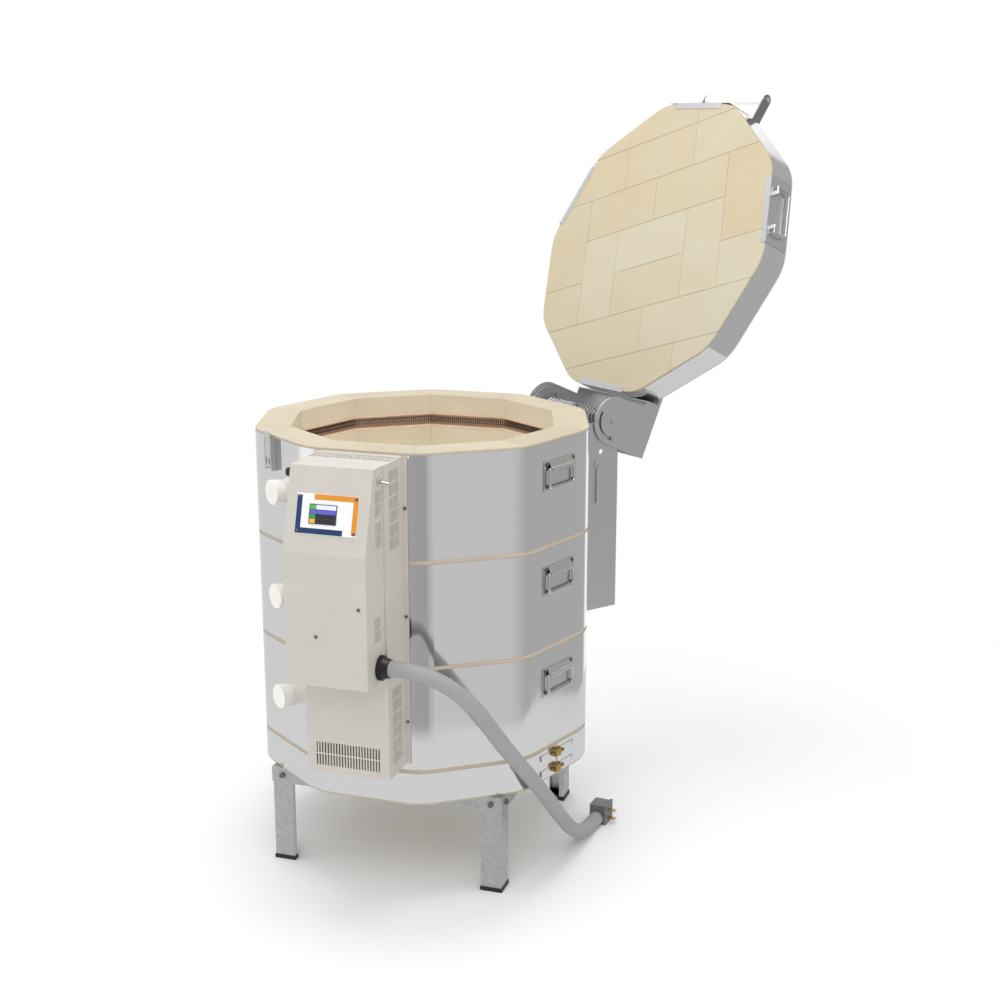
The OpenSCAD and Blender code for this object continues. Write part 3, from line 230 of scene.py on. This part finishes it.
softbox("key_lamp", (2.4, -2.0, 3.4), (0, 0, 0.7), 2.2, 30)
softbox("top_lamp", (0.0, 0.0, 4.2), (0, 0, 0.6), 2.2, 60)
chamber_lamp = bpy.data.objects.new("chamber_lamp", bpy.data.lights.new("chamber_lamp", "POINT"))
chamber_lamp.data.energy = 3.2
chamber_lamp.data.shadow_soft_size = 0.12
chamber_lamp.location = (0.08, -0.04, 0.72)
chamber_lamp.visible_camera = chamber_lamp.visible_glossy = False
scene.collection.objects.link(chamber_lamp)
scene.view_settings.view_transform = "Standard"

# %% The ring of grey card that only reflections see
card_out, card_height = 1.3, 2.6
# Azimuth in degrees and how bright the card is there
card_levels = [(-180, 0.78), (-160, 0.68), (-136, 0.68), (-120, 1.0), (-84, 0.95), (-70, 0.4), (-22, 0.36),
               (-14, 0.59), (3, 0.57), (30, 0.42), (84, 0.43), (93, 1.0), (125, 1.0), (150, 0.84), (180, 0.78)]
card_mesh = bpy.data.meshes.new("studio_cards")
card = bmesh.new()
bmesh.ops.create_circle(card, segments=96, radius=card_out)
wall = bmesh.ops.extrude_edge_only(card, edges=card.edges[:])["geom"]
bmesh.ops.translate(card, vec=(0, 0, card_height), verts=[v for v in wall if isinstance(v, bmesh.types.BMVert)])
card.to_mesh(card_mesh)
card.free()
cards = bpy.data.objects.new("studio_cards", card_mesh)
scene.collection.objects.link(cards)
for ray in ("camera", "diffuse", "transmission", "volume_scatter", "shadow"):
    setattr(cards, "visible_" + ray, False)
grey_card, tree, shader, place = finish("grey_card")
split = add(tree, "ShaderNodeSeparateXYZ", {0: place})
angle = add(tree, "ShaderNodeMath", {0: split.outputs["Y"], 1: split.outputs["X"]}, operation="ARCTAN2")
around = add(tree, "ShaderNodeMapRange", {"Value": angle.outputs[0], "From Min": -pi, "From Max": pi})
levels = add(tree, "ShaderNodeValToRGB", {0: around.outputs["Result"]})
for k, (azimuth, level) in enumerate(card_levels):
    stops = levels.color_ramp.elements
    stop = stops[k] if k < 1 else stops.new(azimuth / 360 + 0.5) if k < len(card_levels) - 1 else stops[-1]
    stop.color = (level, level, level, 1)
glow = add(tree, "ShaderNodeEmission", {"Color": levels.outputs["Color"], "Strength": 1.0})
tree.links.new(glow.outputs[0], tree.nodes["Material Output"].inputs["Surface"])
card_mesh.materials.append(grey_card)
print("card stops:", len(levels.color_ramp.elements))

# %% [markdown]
# ## Finishes for metal
# Each finish starts from what the part is made of. The jackets are bright-annealed stainless steel, rolled so
# smooth that it mirrors the room, with a slow waviness from being bent round the bricks. The stand and hinge
# are galvanised steel, whose zinc froze in flat crystals some 7 mm across, each with its own grey. Pressed
# handles and bolts are nickel-plated, and the band clamps have brass blocks.

# %% Mirror-bright stainless steel
# Bright-annealed sheet: a clear mirror, a slow swell of some 260 mm between bends, and faint handling smears
mirror_steel, tree, shader, place = finish(
    "bright_annealed_stainless", Base_Color=paint("#F0F0F0"), Metallic=1.0, Roughness=0.09)
swell = add(tree, "ShaderNodeTexNoise", {"Vector": place, "Scale": per_mm(260), "Detail": 1.0})
sway = add(tree, "ShaderNodeBump", {"Height": swell.outputs["Fac"], "Strength": 0.12, "Distance": 4 * MM})
tree.links.new(sway.outputs["Normal"], shader.inputs["Normal"])
smear = add(tree, "ShaderNodeTexNoise", {"Vector": place, "Scale": per_mm(90), "Detail": 4.0})
polish = add(tree, "ShaderNodeMapRange", {"Value": smear.outputs["Fac"], "From Min": 0.35, "From Max": 0.7,
                                          "To Min": 0.05, "To Max": 0.14})
tree.links.new(polish.outputs["Result"], shader.inputs["Roughness"])
print(mirror_steel.name)

# %% Galvanised steel
# Hot-dip zinc: 7 mm crystals, each with its own grey and gloss, under a slow haze
galvanised, tree, shader, place = finish("galvanised_sheet", Metallic=1.0, Roughness=0.38)
crystal = add(tree, "ShaderNodeTexVoronoi", {"Vector": place, "Scale": per_mm(7), "Randomness": 1.0})
haze = add(tree, "ShaderNodeTexNoise", {"Vector": place, "Scale": per_mm(45), "Detail": 5.0})
crystal_tone = add(tree, "ShaderNodeSeparateColor", {"Color": crystal.outputs["Color"]})
tone = add(tree, "ShaderNodeMath", {0: crystal_tone.outputs[0], 1: haze.outputs["Fac"]}, operation="MULTIPLY")
zinc = add(tree, "ShaderNodeMix", {0: tone.outputs[0], 6: paint("#C3C4C5"), 7: paint("#DCDDDE")}, data_type="RGBA")
tree.links.new(zinc.outputs[2], shader.inputs["Base Color"])
frost = add(tree, "ShaderNodeMapRange", {"Value": crystal_tone.outputs[1], "To Min": 0.42, "To Max": 0.55})
tree.links.new(frost.outputs["Result"], shader.inputs["Roughness"])
print(galvanised.name)

# %% Plated, drawn and cast metals
# The real cloudiness of a plating is finer than a pixel, so it is drawn 8 mm wide
def plated(name, dull, bright, low, high):
    """A plated or polished metal with a fine cloudiness in its colour and gloss."""
    made, tree, shader, place = finish(name, Metallic=1.0)
    cloud = add(tree, "ShaderNodeTexNoise", {"Vector": place, "Scale": per_mm(8), "Detail": 4.0})
    metal = add(tree, "ShaderNodeMix", {0: cloud.outputs["Fac"], 6: paint(dull), 7: paint(bright)}, data_type="RGBA")
    gloss = add(tree, "ShaderNodeMapRange", {"Value": cloud.outputs["Fac"], "To Min": low, "To Max": high})
    tree.links.new(metal.outputs[2], shader.inputs["Base Color"])
    tree.links.new(gloss.outputs["Result"], shader.inputs["Roughness"])
    return made


# Nickel plate on pressed and turned steel: bright, with slightly soft reflections
nickel = plated("nickel_plated_steel", "#D2D2D3", "#EAEAEB", 0.12, 0.26)
# Electroplated zinc on the lid's brackets: a little softer and colder
zinc_plate = plated("zinc_plated_pressing", "#DADBDC", "#E6E7E8", 0.22, 0.38)
# Zinc-coated sheet as rolled, on the hinge: satin, no crystals to be seen
hinge_sheet = plated("rolled_zinc_sheet", "#D9DADB", "#E3E4E5", 0.36, 0.48)
# The lid handle's flat bars and the screws: a darker zinc
arm_steel = plated("dull_zinc_bar", "#98999B", "#A8A9AB", 0.35, 0.5)
screw_steel = plated("dark_grey_screw_steel", "#77777A", "#8E8E90", 0.4, 0.6)
# Brass blocks of the band clamps and the plug's blades: warm yellow, tarnished unevenly
brass = plated("cast_brass", "#A98A4A", "#CDB06A", 0.22, 0.42)
# Drawn spring steel, and resistance wire whose skin has turned dark with firing
spring_wire = plated("drawn_spring_wire", "#8E8F92", "#B4B5B8", 0.25, 0.4)
resistance_wire = plated("oxidised_resistance_wire", "#4A4643", "#6B645E", 0.5, 0.7)
print(nickel.name, zinc_plate.name, brass.name, resistance_wire.name)

# %% [markdown]
# ## Finishes for brick and ceramic
# Insulating fire brick is a light clay foam: cream, matt, full of pores of 0.5 to 2 mm, sawn flat, a little
# different in tone from brick to brick. Every brick carries a number of its own in an attribute, so the tone
# follows the brick and not the room. The element channels are denser, pinkish alumina.

# %% Fire brick and ceramics
def ceramic(name, low, high, pore_mm, depth, brick_tone=0.0, pore_shade="#B9A98C"):
    """A matt fired ceramic: two tones, open pores darkened with painted shade, fine grain, and the brick's own tone
    on top.
    """
    made, tree, shader, place = finish(name, Roughness=0.92, Specular_IOR_Level=0.3)
    drift = add(tree, "ShaderNodeTexNoise", {"Vector": place, "Scale": per_mm(85), "Detail": 3.0})
    own = add(tree, "ShaderNodeAttribute", attribute_name="brick_tone")
    mix = add(tree, "ShaderNodeMath", {0: own.outputs["Fac"], 1: brick_tone, 2: drift.outputs["Fac"]},
              operation="MULTIPLY_ADD")
    clay = add(tree, "ShaderNodeMapRange", {"Value": mix.outputs[0], "From Min": 0.3, "From Max": 0.7 + brick_tone})
    body = add(tree, "ShaderNodeMix", {0: clay.outputs["Result"], 6: paint(low), 7: paint(high)}, data_type="RGBA")
    pore = add(tree, "ShaderNodeTexVoronoi", {"Vector": place, "Scale": per_mm(pore_mm)})
    open_pore = add(tree, "ShaderNodeMapRange", {"Value": pore.outputs["Distance"], "From Min": 0.12,
                                                 "From Max": 0.3})
    grain = add(tree, "ShaderNodeTexNoise", {"Vector": place, "Scale": per_mm(0.9), "Detail": 2.0})
    # The pores are darkened toward the pit colour, up to 45 %: painted shade inside the holes
    pore_shade_share = add(tree, "ShaderNodeMapRange", {"Value": open_pore.outputs["Result"], "To Min": 0.45, "To Max": 0.0})
    colour = add(tree, "ShaderNodeMix", {0: pore_shade_share.outputs["Result"], 6: body.outputs[2], 7: paint(pore_shade)},
                 data_type="RGBA")
    tree.links.new(colour.outputs[2], shader.inputs["Base Color"])
    height = add(tree, "ShaderNodeMath", {0: open_pore.outputs["Result"], 1: grain.outputs["Fac"]}, operation="ADD")
    relief = add(tree, "ShaderNodeBump", {"Height": height.outputs[0], "Strength": 0.35, "Distance": depth * MM})
    tree.links.new(relief.outputs["Normal"], shader.inputs["Normal"])
    return made


# Wall and floor bricks: open pores some 3 mm apart, and a clear difference from brick to brick
fire_brick = ceramic("insulating_fire_brick", "#B9AE97", "#C8BDA8", 3.2, 0.6, 0.5, "#978A72")
# The lid's bricks are a little yellower; the mortar between them is greyer and finer
lid_brick = ceramic("lid_fire_brick", "#C1B190", "#C4BDA8", 3.2, 0.6, 0.9, "#9C9078")
mortar = ceramic("air_setting_mortar", "#A39E92", "#B0AB9F", 2.0, 0.3)
# Dense alumina of the channels: pinkish and nearly poreless; porcelain: white and close-grained
alumina = ceramic("pink_alumina", "#C9AC93", "#D6BDA6", 1.2, 0.2, 0.3, "#A58468")
porcelain = ceramic("unglazed_porcelain", "#F0EDE4", "#F8F6EF", 1.5, 0.15)
print(fire_brick.name, alumina.name, porcelain.name)

# %% [markdown]
# ## Finishes for paint, plastic and rubber
# The two boxes are powder-coated steel in a warm grey: the powder melts into a skin with a fine orange peel.
# The feet, gland and relays are moulded plastic, the grip is a glossy white phenolic tube, and the lead and its
# plug are grey rubber and PVC.

# %% Paint and plastics
def moulded(name, dark, light_tone, rough, peel_mm, depth, drift_mm=60, **sockets):
    """A painted or moulded surface: two close tones and a fine skin."""
    made, tree, shader, place = finish(name, Roughness=rough, **sockets)
    drift = add(tree, "ShaderNodeTexNoise", {"Vector": place, "Scale": per_mm(drift_mm), "Detail": 3.0})
    tone = add(tree, "ShaderNodeMix", {0: drift.outputs["Fac"], 6: paint(dark), 7: paint(light_tone)},
               data_type="RGBA")
    tree.links.new(tone.outputs[2], shader.inputs["Base Color"])
    peel = add(tree, "ShaderNodeTexNoise", {"Vector": place, "Scale": per_mm(peel_mm), "Detail": 2.0})
    skin = add(tree, "ShaderNodeBump", {"Height": peel.outputs["Fac"], "Strength": 0.2, "Distance": depth * MM})
    tree.links.new(skin.outputs["Normal"], shader.inputs["Normal"])
    return made


# Powder coat: satin, with orange peel 1.6 mm wide
powder_coat = moulded("warm_grey_powder_coat", "#C2BCB2", "#CCC7BD", 0.42, 1.6, 0.25, IOR=1.5)
# Polyethylene foot caps are waxy; nylon is a little glossier
black_plastic = moulded("black_polyethylene", "#161616", "#232323", 0.5, 1.2, 0.2)
black_nylon = moulded("black_nylon", "#141414", "#1E1E1E", 0.38, 1.0, 0.15)
# Glossy phenolic tube: a clear skin over white, with a faint emission that is a painted glow
white_grip_painted_glow = moulded("white_phenolic_painted_glow", "#ECEBE6", "#F6F5F0", 0.18, 6.0, 0.1, Coat_Weight=0.4, Coat_Roughness=0.08,
                      Emission_Color=paint("#F6F5F0"), Emission_Strength=0.15)
# Grey rubber of the lead, matt with slow stains, and the darker, smoother PVC of its plug
rubber = moulded("grey_rubber", "#949494", "#A0A0A0", 0.55, 1.5, 0.25, 40)
plug_pvc = moulded("plug_pvc", "#68686A", "#727273", 0.45, 1.2, 0.2)
# Printed polyester sheet: smooth, half glossy inks
panel_white = moulded("panel_print_white", "#EFEFEC", "#F5F5F2", 0.3, 2.5, 0.05)
panel_blue = moulded("panel_print_blue", "#17355E", "#1D3F6C", 0.3, 2.5, 0.05)
panel_orange = moulded("panel_print_orange", "#D98B1E", "#E09528", 0.3, 2.5, 0.05)
# Green solder mask on the control board, which only shows with the box open
circuit_green = moulded("circuit_board", "#2C6B3A", "#357A44", 0.4, 2.0, 0.05)
print("paint and plastics:", powder_coat.name, rubber.name, white_grip_painted_glow.name)
cord.data.materials.append(rubber)

# %% [markdown]
# ## Dress a solid
# A machined edge is never razor sharp: light catches on it. So each solid is copied, its loose triangles are
# merged, flat triangles are joined, and a small bevel goes round every sharp edge. Every loose lump of the
# copy, such as one brick, gets a tone of its own. The copy rides on the same body and stands for the solid.

# %% Copy a solid
weld_dist, flat_angle = 0.01 * MM, radians(0.3)


def merged_copy(name):
    """The solid's mesh as a bmesh, with its doubles merged and its flat triangles joined."""
    shape = bmesh.new()
    shape.from_mesh(nodes[name].data)
    bmesh.ops.remove_doubles(shape, verts=shape.verts, dist=weld_dist)
    bmesh.ops.dissolve_limit(shape, angle_limit=flat_angle, verts=shape.verts, edges=shape.edges)
    return shape


# %% A tone for every lump
shades = random.Random(7)


def islands(shape):
    """The connected lumps of a bmesh, as lists of faces."""
    seen, lumps = set(), []
    for start in shape.faces:
        if start in seen:
            continue
        lump, waiting = [], [start]
        seen.add(start)
        while waiting:
            face = waiting.pop()
            lump.append(face)
            for near in (f for e in face.edges for f in e.link_faces if f not in seen):
                seen.add(near)
                waiting.append(near)
        lumps.append(lump)
    return lumps


def tone_lumps(shape):
    """Gives every lump its own number from 0 to 1 in the attribute brick_tone."""
    layer = shape.faces.layers.float.get("brick_tone") or shape.faces.layers.float.new("brick_tone")
    for lump in islands(shape):
        tone = shades.random()
        for face in lump:
            face[layer] = tone


print("tones are drawn in the order in which the pieces are made")

# %% Finish and dress a piece
def piece_from(name, shape, body, material, bevel=0.0, replaced=(), steps=2, sharp=28):
    """Turns a bmesh into a finished piece on its body, with softened edges."""
    mesh = bpy.data.meshes.new(name)
    for face in shape.faces:
        face.smooth = True
    shape.to_mesh(mesh)
    shape.free()
    mesh.set_sharp_from_angle(angle=radians(sharp))
    mesh.materials.append(material)
    made = bpy.data.objects.new(name, mesh)
    scene.collection.objects.link(made)
    if bevel:
        edge = made.modifiers.new("soft edges", "BEVEL")
        edge.width = bevel * MM
        edge.segments = steps
        edge.limit_method = "ANGLE"
        edge.angle_limit = radians(sharp)
        edge.harden_normals = True
    even = made.modifiers.new("even shading", "WEIGHTED_NORMAL")
    even.keep_sharp = True
    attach(made, body)
    if replaced:
        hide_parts(*replaced)
    return made


def dress(name, material, bevel, steps=2, sharp=28):
    """A softened copy of one solid, on the same body."""
    shape = merged_copy(name)
    tone_lumps(shape)
    return piece_from("dressed_" + name, shape, nodes[name]["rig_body"], material, bevel, [name],
                      steps, sharp)


# %% [markdown]
# ## Brick rings, jackets and stand
# The bricks are sawn, so their arrises are worn to about a millimetre. The jackets are sheet, so they only need
# smooth corners, and a weighted normal keeps the flats flat beside them. The stand is folded sheet: its
# folds have an inside radius of about the sheet's thickness.

# %% Dress the big pieces
for level in ("bottom", "middle", "top"):
    dress("ring_bricks_" + level, fire_brick, 1.2)
    dress("jacket_" + level, mirror_steel, 0.0)
    dress("element_channels_" + level, alumina, 0.8)
    dress("plug_" + level, porcelain, 1.2)
    dress("bail_right_" + level, nickel, 0.0)
    dress("bail_left_" + level, nickel, 0.0)
dress("floor_slab", fire_brick, 1.2)
dress("floor_band", mirror_steel, 0.0)
dress("stand_legs", galvanised, 0.9)
dress("stand_bars", galvanised, 0.7)
dress("leg_feet", black_plastic, 1.2)

# %% Dress the metalwork
for name, material, bevel in [
    ("clamp_straps", mirror_steel, 0.3), ("clamp_screws", brass, 0.6), ("handle_plates", nickel, 0.5),
    ("latch_base", nickel, 0.5), ("latch_arm", nickel, 0.5), ("hinge_base", hinge_sheet, 0.6),
    ("hinge_axle", nickel, 0.6), ("hinge_springs", spring_wire, 0.0), ("hinge_lid_plate", hinge_sheet, 0.6),
    ("lock_pin", nickel, 0.4), ("lid_brackets", zinc_plate, 0.5), ("lid_bail_right", nickel, 0.0),
    ("lid_bail_left", nickel, 0.0), ("lid_handle_arms", arm_steel, 0.6), ("lid_screws", nickel, 0.4),
    ("fasteners", screw_steel, 0.4), ("toggle_bushing", nickel, 0.3), ("toggle_lever", nickel, 0.3),
    ("plug_blades", brass, 0.3),
]:
    dress(name, material, bevel)
print("metalwork done")

# %% Dress boxes and small parts
for name, material, bevel in [
    ("element_box", powder_coat, 0.6), ("control_box", powder_coat, 0.8), ("lid_handle_grip", white_grip_painted_glow, 1.5),
    ("faceplate", panel_white, 0.3), ("fuse_cap", black_nylon, 0.6), ("cord_gland", black_nylon, 0.6),
    ("power_plug", plug_pvc, 2.5), ("thermocouples", porcelain, 0.5), ("terminal_blocks", porcelain, 0.8),
    ("relays", black_nylon, 0.8), ("control_board", circuit_green, 0.2), ("lid_band", mirror_steel, 0.0),
]:
    dress(name, material, bevel)
print("boxes and small parts done")

# %% [markdown]
# ## Heating elements
# The elements are coils of resistance wire that lie in the ceramic channels. A coil is a circle of wire section
# spun round its own axis while it moves along it, which is what a spin with a step along the axis does. One
# straight coil is made for one side of the ring and turned round the kiln ten times.

# %% Wind the elements
sides = 10
half_step = pi / sides
wire_d = 1.7 * MM
coil_d = 14 * MM
turns_per_side = 36
steps_per_turn = 12
# From the chamber's axis to the coil's own axis, and from a channel's edge to it
coil_out = 297.2 * MM
coil_in = 16.5 * MM


def coil_row(name, z, replaced):
    """One row of coiled element round the chamber at height z."""
    row = bmesh.new()
    side_len = 2 * coil_out * tan(half_step)
    pitch = side_len / turns_per_side
    axis = Vector((0, 1, 0))
    ring = bmesh.ops.create_circle(row, segments=5, radius=wire_d / 2)
    across = Matrix.Translation((coil_out + (coil_d - wire_d) / 2, -side_len / 2, z))
    bmesh.ops.transform(row, matrix=across, verts=ring["verts"])
    bmesh.ops.spin(row, geom=row.edges[:], cent=(coil_out, 0, z), axis=axis,
                   dvec=axis * (pitch / steps_per_turn), angle=2 * pi * turns_per_side,
                   steps=turns_per_side * steps_per_turn, use_merge=False)
    bmesh.ops.holes_fill(row, edges=[e for e in row.edges if e.is_boundary], sides=8)
    straight = row.verts[:] + row.edges[:] + row.faces[:]
    for k in range(1, sides):
        extra = bmesh.ops.duplicate(row, geom=straight)["geom"]
        turn = Matrix.Rotation(2 * half_step * k, 4, "Z")
        bmesh.ops.transform(row, matrix=turn, verts=[v for v in extra if isinstance(v, bmesh.types.BMVert)])
    bmesh.ops.transform(row, matrix=Matrix.Rotation(half_step, 4, "Z"), verts=row.verts)
    bmesh.ops.recalc_face_normals(row, faces=row.faces)
    return piece_from(name, row, "kiln", resistance_wire, 0.0, replaced, sharp=60)


for level in ("bottom", "middle", "top"):
    low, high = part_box("element_channels_" + level)
    for which, z in (("upper", high.z - coil_in), ("lower", low.z + coil_in)):
        coil_row(f"element_coil_{level}_{which}", z, ["elements_" + level])
rows_wound = sum(o.name.startswith("element_coil") for o in scene.objects)
print("coil rows:", rows_wound, "turns a row:", turns_per_side * sides)

# %% [markdown]
# ## The brick lid
# The lid is one slab of bricks held by a steel band: two wide bricks in the middle between two upright ones,
# and running courses above and below. Each brick is the whole slab cut down by four planes, so the outer ones keep
# the lid's rounded outline. The lid stands open in the picture, so the cuts are made in the shut pose and the
# bricks are turned back.

# %% Plan the lid's courses
hinge = next(j for j in frame["joints"] if j["name"] == "lid_hinge")
pivot = Vector(hinge["pos_m"])
lid_open = radians(max(hinge["range_deg"]))
shut = Matrix.Translation(pivot) @ Matrix.Rotation(lid_open, 4, "X") @ Matrix.Translation(-pivot)
# The courses lie half a side round from the lid's handle
skewed = Matrix.Rotation(half_step, 4, "Z") @ shut
half_brick = 114.3 * MM
course_shift = 67 * MM
joint_w = 0.9 * MM
far = 5
# Each brick as left, right, low and high edge, counted in half bricks from the top of the middle brick
lid_courses = [
    (-1, 1, -1, 0), (-1, 1, -2, -1), (-2, -1, -2, 0), (1, 2, -2, 0), (-2, 0, 0, 1), (0, 2, 0, 1),
    (-far, -1, 1, 2), (-1, 1, 1, 2), (1, far, 1, 2), (-far, 1, 2, far), (1, far, 2, far),
    (2, far, -1, 1), (2, far, -2, -1), (-far, -2, -1, 1), (-far, -2, -2, -1),
    (-far, 0, -3, -2), (0, far, -3, -2), (-far, 1, -far, -3), (1, far, -far, -3),
]
print("bricks planned:", len(lid_courses))

# %% Cut one brick
def cut_brick(left, right, low, high):
    """The lid slab cut down to one brick, in the shut pose."""
    brick = merged_copy("lid_slab")
    bmesh.ops.transform(brick, matrix=skewed, verts=brick.verts)
    front = -(high * half_brick + course_shift)
    back = -(low * half_brick + course_shift)
    half_joint = joint_w / 2
    for point, normal in [
        ((left * half_brick + half_joint, 0, 0), (-1, 0, 0)), ((right * half_brick - half_joint, 0, 0), (1, 0, 0)),
        ((0, front + half_joint, 0), (0, -1, 0)), ((0, back - half_joint, 0), (0, 1, 0)),
    ]:
        geom = brick.verts[:] + brick.edges[:] + brick.faces[:]
        cut = bmesh.ops.bisect_plane(brick, geom=geom, plane_co=point, plane_no=normal, clear_outer=True)
        rim = [e for e in cut["geom_cut"] if isinstance(e, bmesh.types.BMEdge)]
        if rim:
            bmesh.ops.contextual_create(brick, geom=rim)
    return brick


print("a whole brick is", round(2 * half_brick / MM, 1), "mm long")

# %% Lay the lid's bricks
lid = bmesh.new()
for course in lid_courses:
    brick = cut_brick(*course)
    scratch = bpy.data.meshes.new("scratch")
    brick.to_mesh(scratch)
    brick.free()
    lid.from_mesh(scratch)
    bpy.data.meshes.remove(scratch)
tone_lumps(lid)
bmesh.ops.transform(lid, matrix=skewed.inverted(), verts=lid.verts)
piece_from("lid_bricks", lid, "lid", lid_brick, 0.8, ["lid_slab"])
print("lid bricks:", len(lid_courses))

# %% Fill the lid's joints
# The mortar is the slab itself, a little smaller, so that it shows only between the bricks
joints = merged_copy("lid_slab")
middle = sum((v.co for v in joints.verts), Vector()) / len(joints.verts)
bmesh.ops.transform(joints, matrix=shut, verts=joints.verts)
shrink = Vector((0.994, 0.994, 0.97))
bmesh.ops.scale(joints, vec=shrink, space=Matrix.Translation(-(shut @ middle)), verts=joints.verts)
bmesh.ops.transform(joints, matrix=shut.inverted(), verts=joints.verts)
piece_from("lid_mortar", joints, "lid", mortar)
print("mortar laid")

# %% [markdown]
# ## Screen and panel print
# The controller's panel is a printed sheet: white, with a blue band down the left and along the bottom, and an
# orange band along the top and right. The print is drawn as thin sheets on the plate, in the plate's own frame,
# which is read from the solid: its front is its largest face. The screen shows plain coloured tiles.

# %% The plate's own frame
def front_frame(name):
    """Middle, across and up vectors of a plate's front face, with its half width and half height."""
    shape = merged_copy(name)
    face = max(shape.faces, key=lambda f: (round(f.calc_area(), 7), f.calc_center_median().length))
    same = [f for f in shape.faces if f.normal.angle(face.normal) < radians(1)]
    normal = face.normal.copy()
    if normal.z < 0 or normal.dot(face.calc_center_median()) < 0:
        normal = -normal
    across = Vector((0, 0, 1)).cross(normal).normalized()
    up = normal.cross(across)
    reach = [v.co for v in shape.verts]
    top = max(p.dot(normal) for p in reach)
    spans = [(min(p.dot(d) for p in reach), max(p.dot(d) for p in reach)) for d in (across, up)]
    shape.free()
    middle = normal * top + across * sum(spans[0]) / 2 + up * sum(spans[1]) / 2
    return middle, across, up, normal, (spans[0][1] - spans[0][0]) / 2, (spans[1][1] - spans[1][0]) / 2


plate_mid, plate_x, plate_y, plate_out, plate_w, plate_h = front_frame("faceplate")
print("faceplate half sizes in mm:", round(plate_w / MM, 1), round(plate_h / MM, 1))


# A print lies a hair above its plate, and a crossing band a hair above the first
print_lift, crossing_lift, print_thick = 0.12, 0.14, 0.1


def print_patch(name, x0, x1, y0, y1, material, lift=print_lift):
    """A thin printed rectangle on the plate, from x0 to x1 and y0 to y1 in millimetres from its middle."""
    patch = bmesh.new()
    bmesh.ops.create_cube(patch, size=1)
    bmesh.ops.scale(patch, vec=((x1 - x0) * MM, (y1 - y0) * MM, print_thick * MM), verts=patch.verts)
    middle = Vector(((x0 + x1) / 2, (y0 + y1) / 2, lift - print_thick / 2)) * MM
    bmesh.ops.translate(patch, vec=middle, verts=patch.verts)
    turn = Matrix((plate_x, plate_y, plate_out)).transposed().to_4x4()
    turn.translation = plate_mid
    bmesh.ops.transform(patch, matrix=turn, verts=patch.verts)
    return piece_from(name, patch, "kiln", material)


# %% Print the panel
print_inset, band_w = 0.6, 11
edge_x = plate_w / MM - print_inset
edge_y = plate_h / MM - print_inset
# Where each band ends, as a share of the half width or half height
side_end, foot_end, head_start = 0.92 * edge_y, 0.55 * edge_x, -0.45 * edge_x
for name, x0, x1, y0, y1, ink, lift in [
    ("panel_blue_side", -edge_x, -edge_x + band_w, -edge_y, side_end, panel_blue, print_lift),
    ("panel_blue_foot", -edge_x, foot_end, -edge_y, -edge_y + band_w, panel_blue, crossing_lift),
    ("panel_orange_head", head_start, edge_x, edge_y - band_w, edge_y, panel_orange, print_lift),
    ("panel_orange_side", edge_x - band_w, edge_x, -side_end, edge_y, panel_orange, crossing_lift),
]:
    print_patch(name, x0, x1, y0, y1, ink, lift)

# %% [markdown]
# ## The touch screen
# A small colour display behind glass, lit from inside. It shows a dark ground with plain tiles and a pale bar
# for a reading, and no words.

# %% Light the screen
def lit(name, colour, strength=0.25):
    """A colour that a display gives off, under a smooth glass front."""
    made, tree, shader, place = finish(name, Base_Color=paint(colour), Roughness=0.08, Emission_Color=paint(colour),
                                       Emission_Strength=strength, Coat_Weight=0.3)
    return made


screen_ground = lit("screen_ground", "#3C3C44")
dress("touch_screen", screen_ground, 0.2)
screen_mid, _, _, _, screen_w, screen_h = front_frame("touch_screen")
sx = (screen_mid - plate_mid).dot(plate_x) / MM
sy = (screen_mid - plate_mid).dot(plate_y) / MM
rise = (screen_mid - plate_mid).dot(plate_out) / MM
tab_colours = ["#D9A52E", "#338A42", "#5A5CB4", "#48A848"]
bar_colours = ["#2A2A30", "#2A2A30", "#5658AE", "#D4D5E4"]
tab_w, row_gap, margin = 12, 0.8, 1.6
left, right = sx - screen_w / MM + margin, sx + screen_w / MM - margin
row_h = (2 * (screen_h / MM - margin) + row_gap) / len(tab_colours)
for k, (tab, bar) in enumerate(zip(tab_colours, bar_colours)):
    foot = sy - screen_h / MM + margin + k * row_h
    head = foot + row_h - row_gap
    spans = {"tab": (left, left + tab_w, tab), "bar": (left + tab_w + row_gap, right, bar)}
    for kind, (start, end, colour) in spans.items():
        name = f"screen_{kind}_{k}"
        print_patch(name, start, end, foot, head, lit(name, colour), rise + print_lift)
print("screen rows:", len(tab_colours))

# %% [markdown]
# Its plug and blades lie on its end.

print("power lead laid")
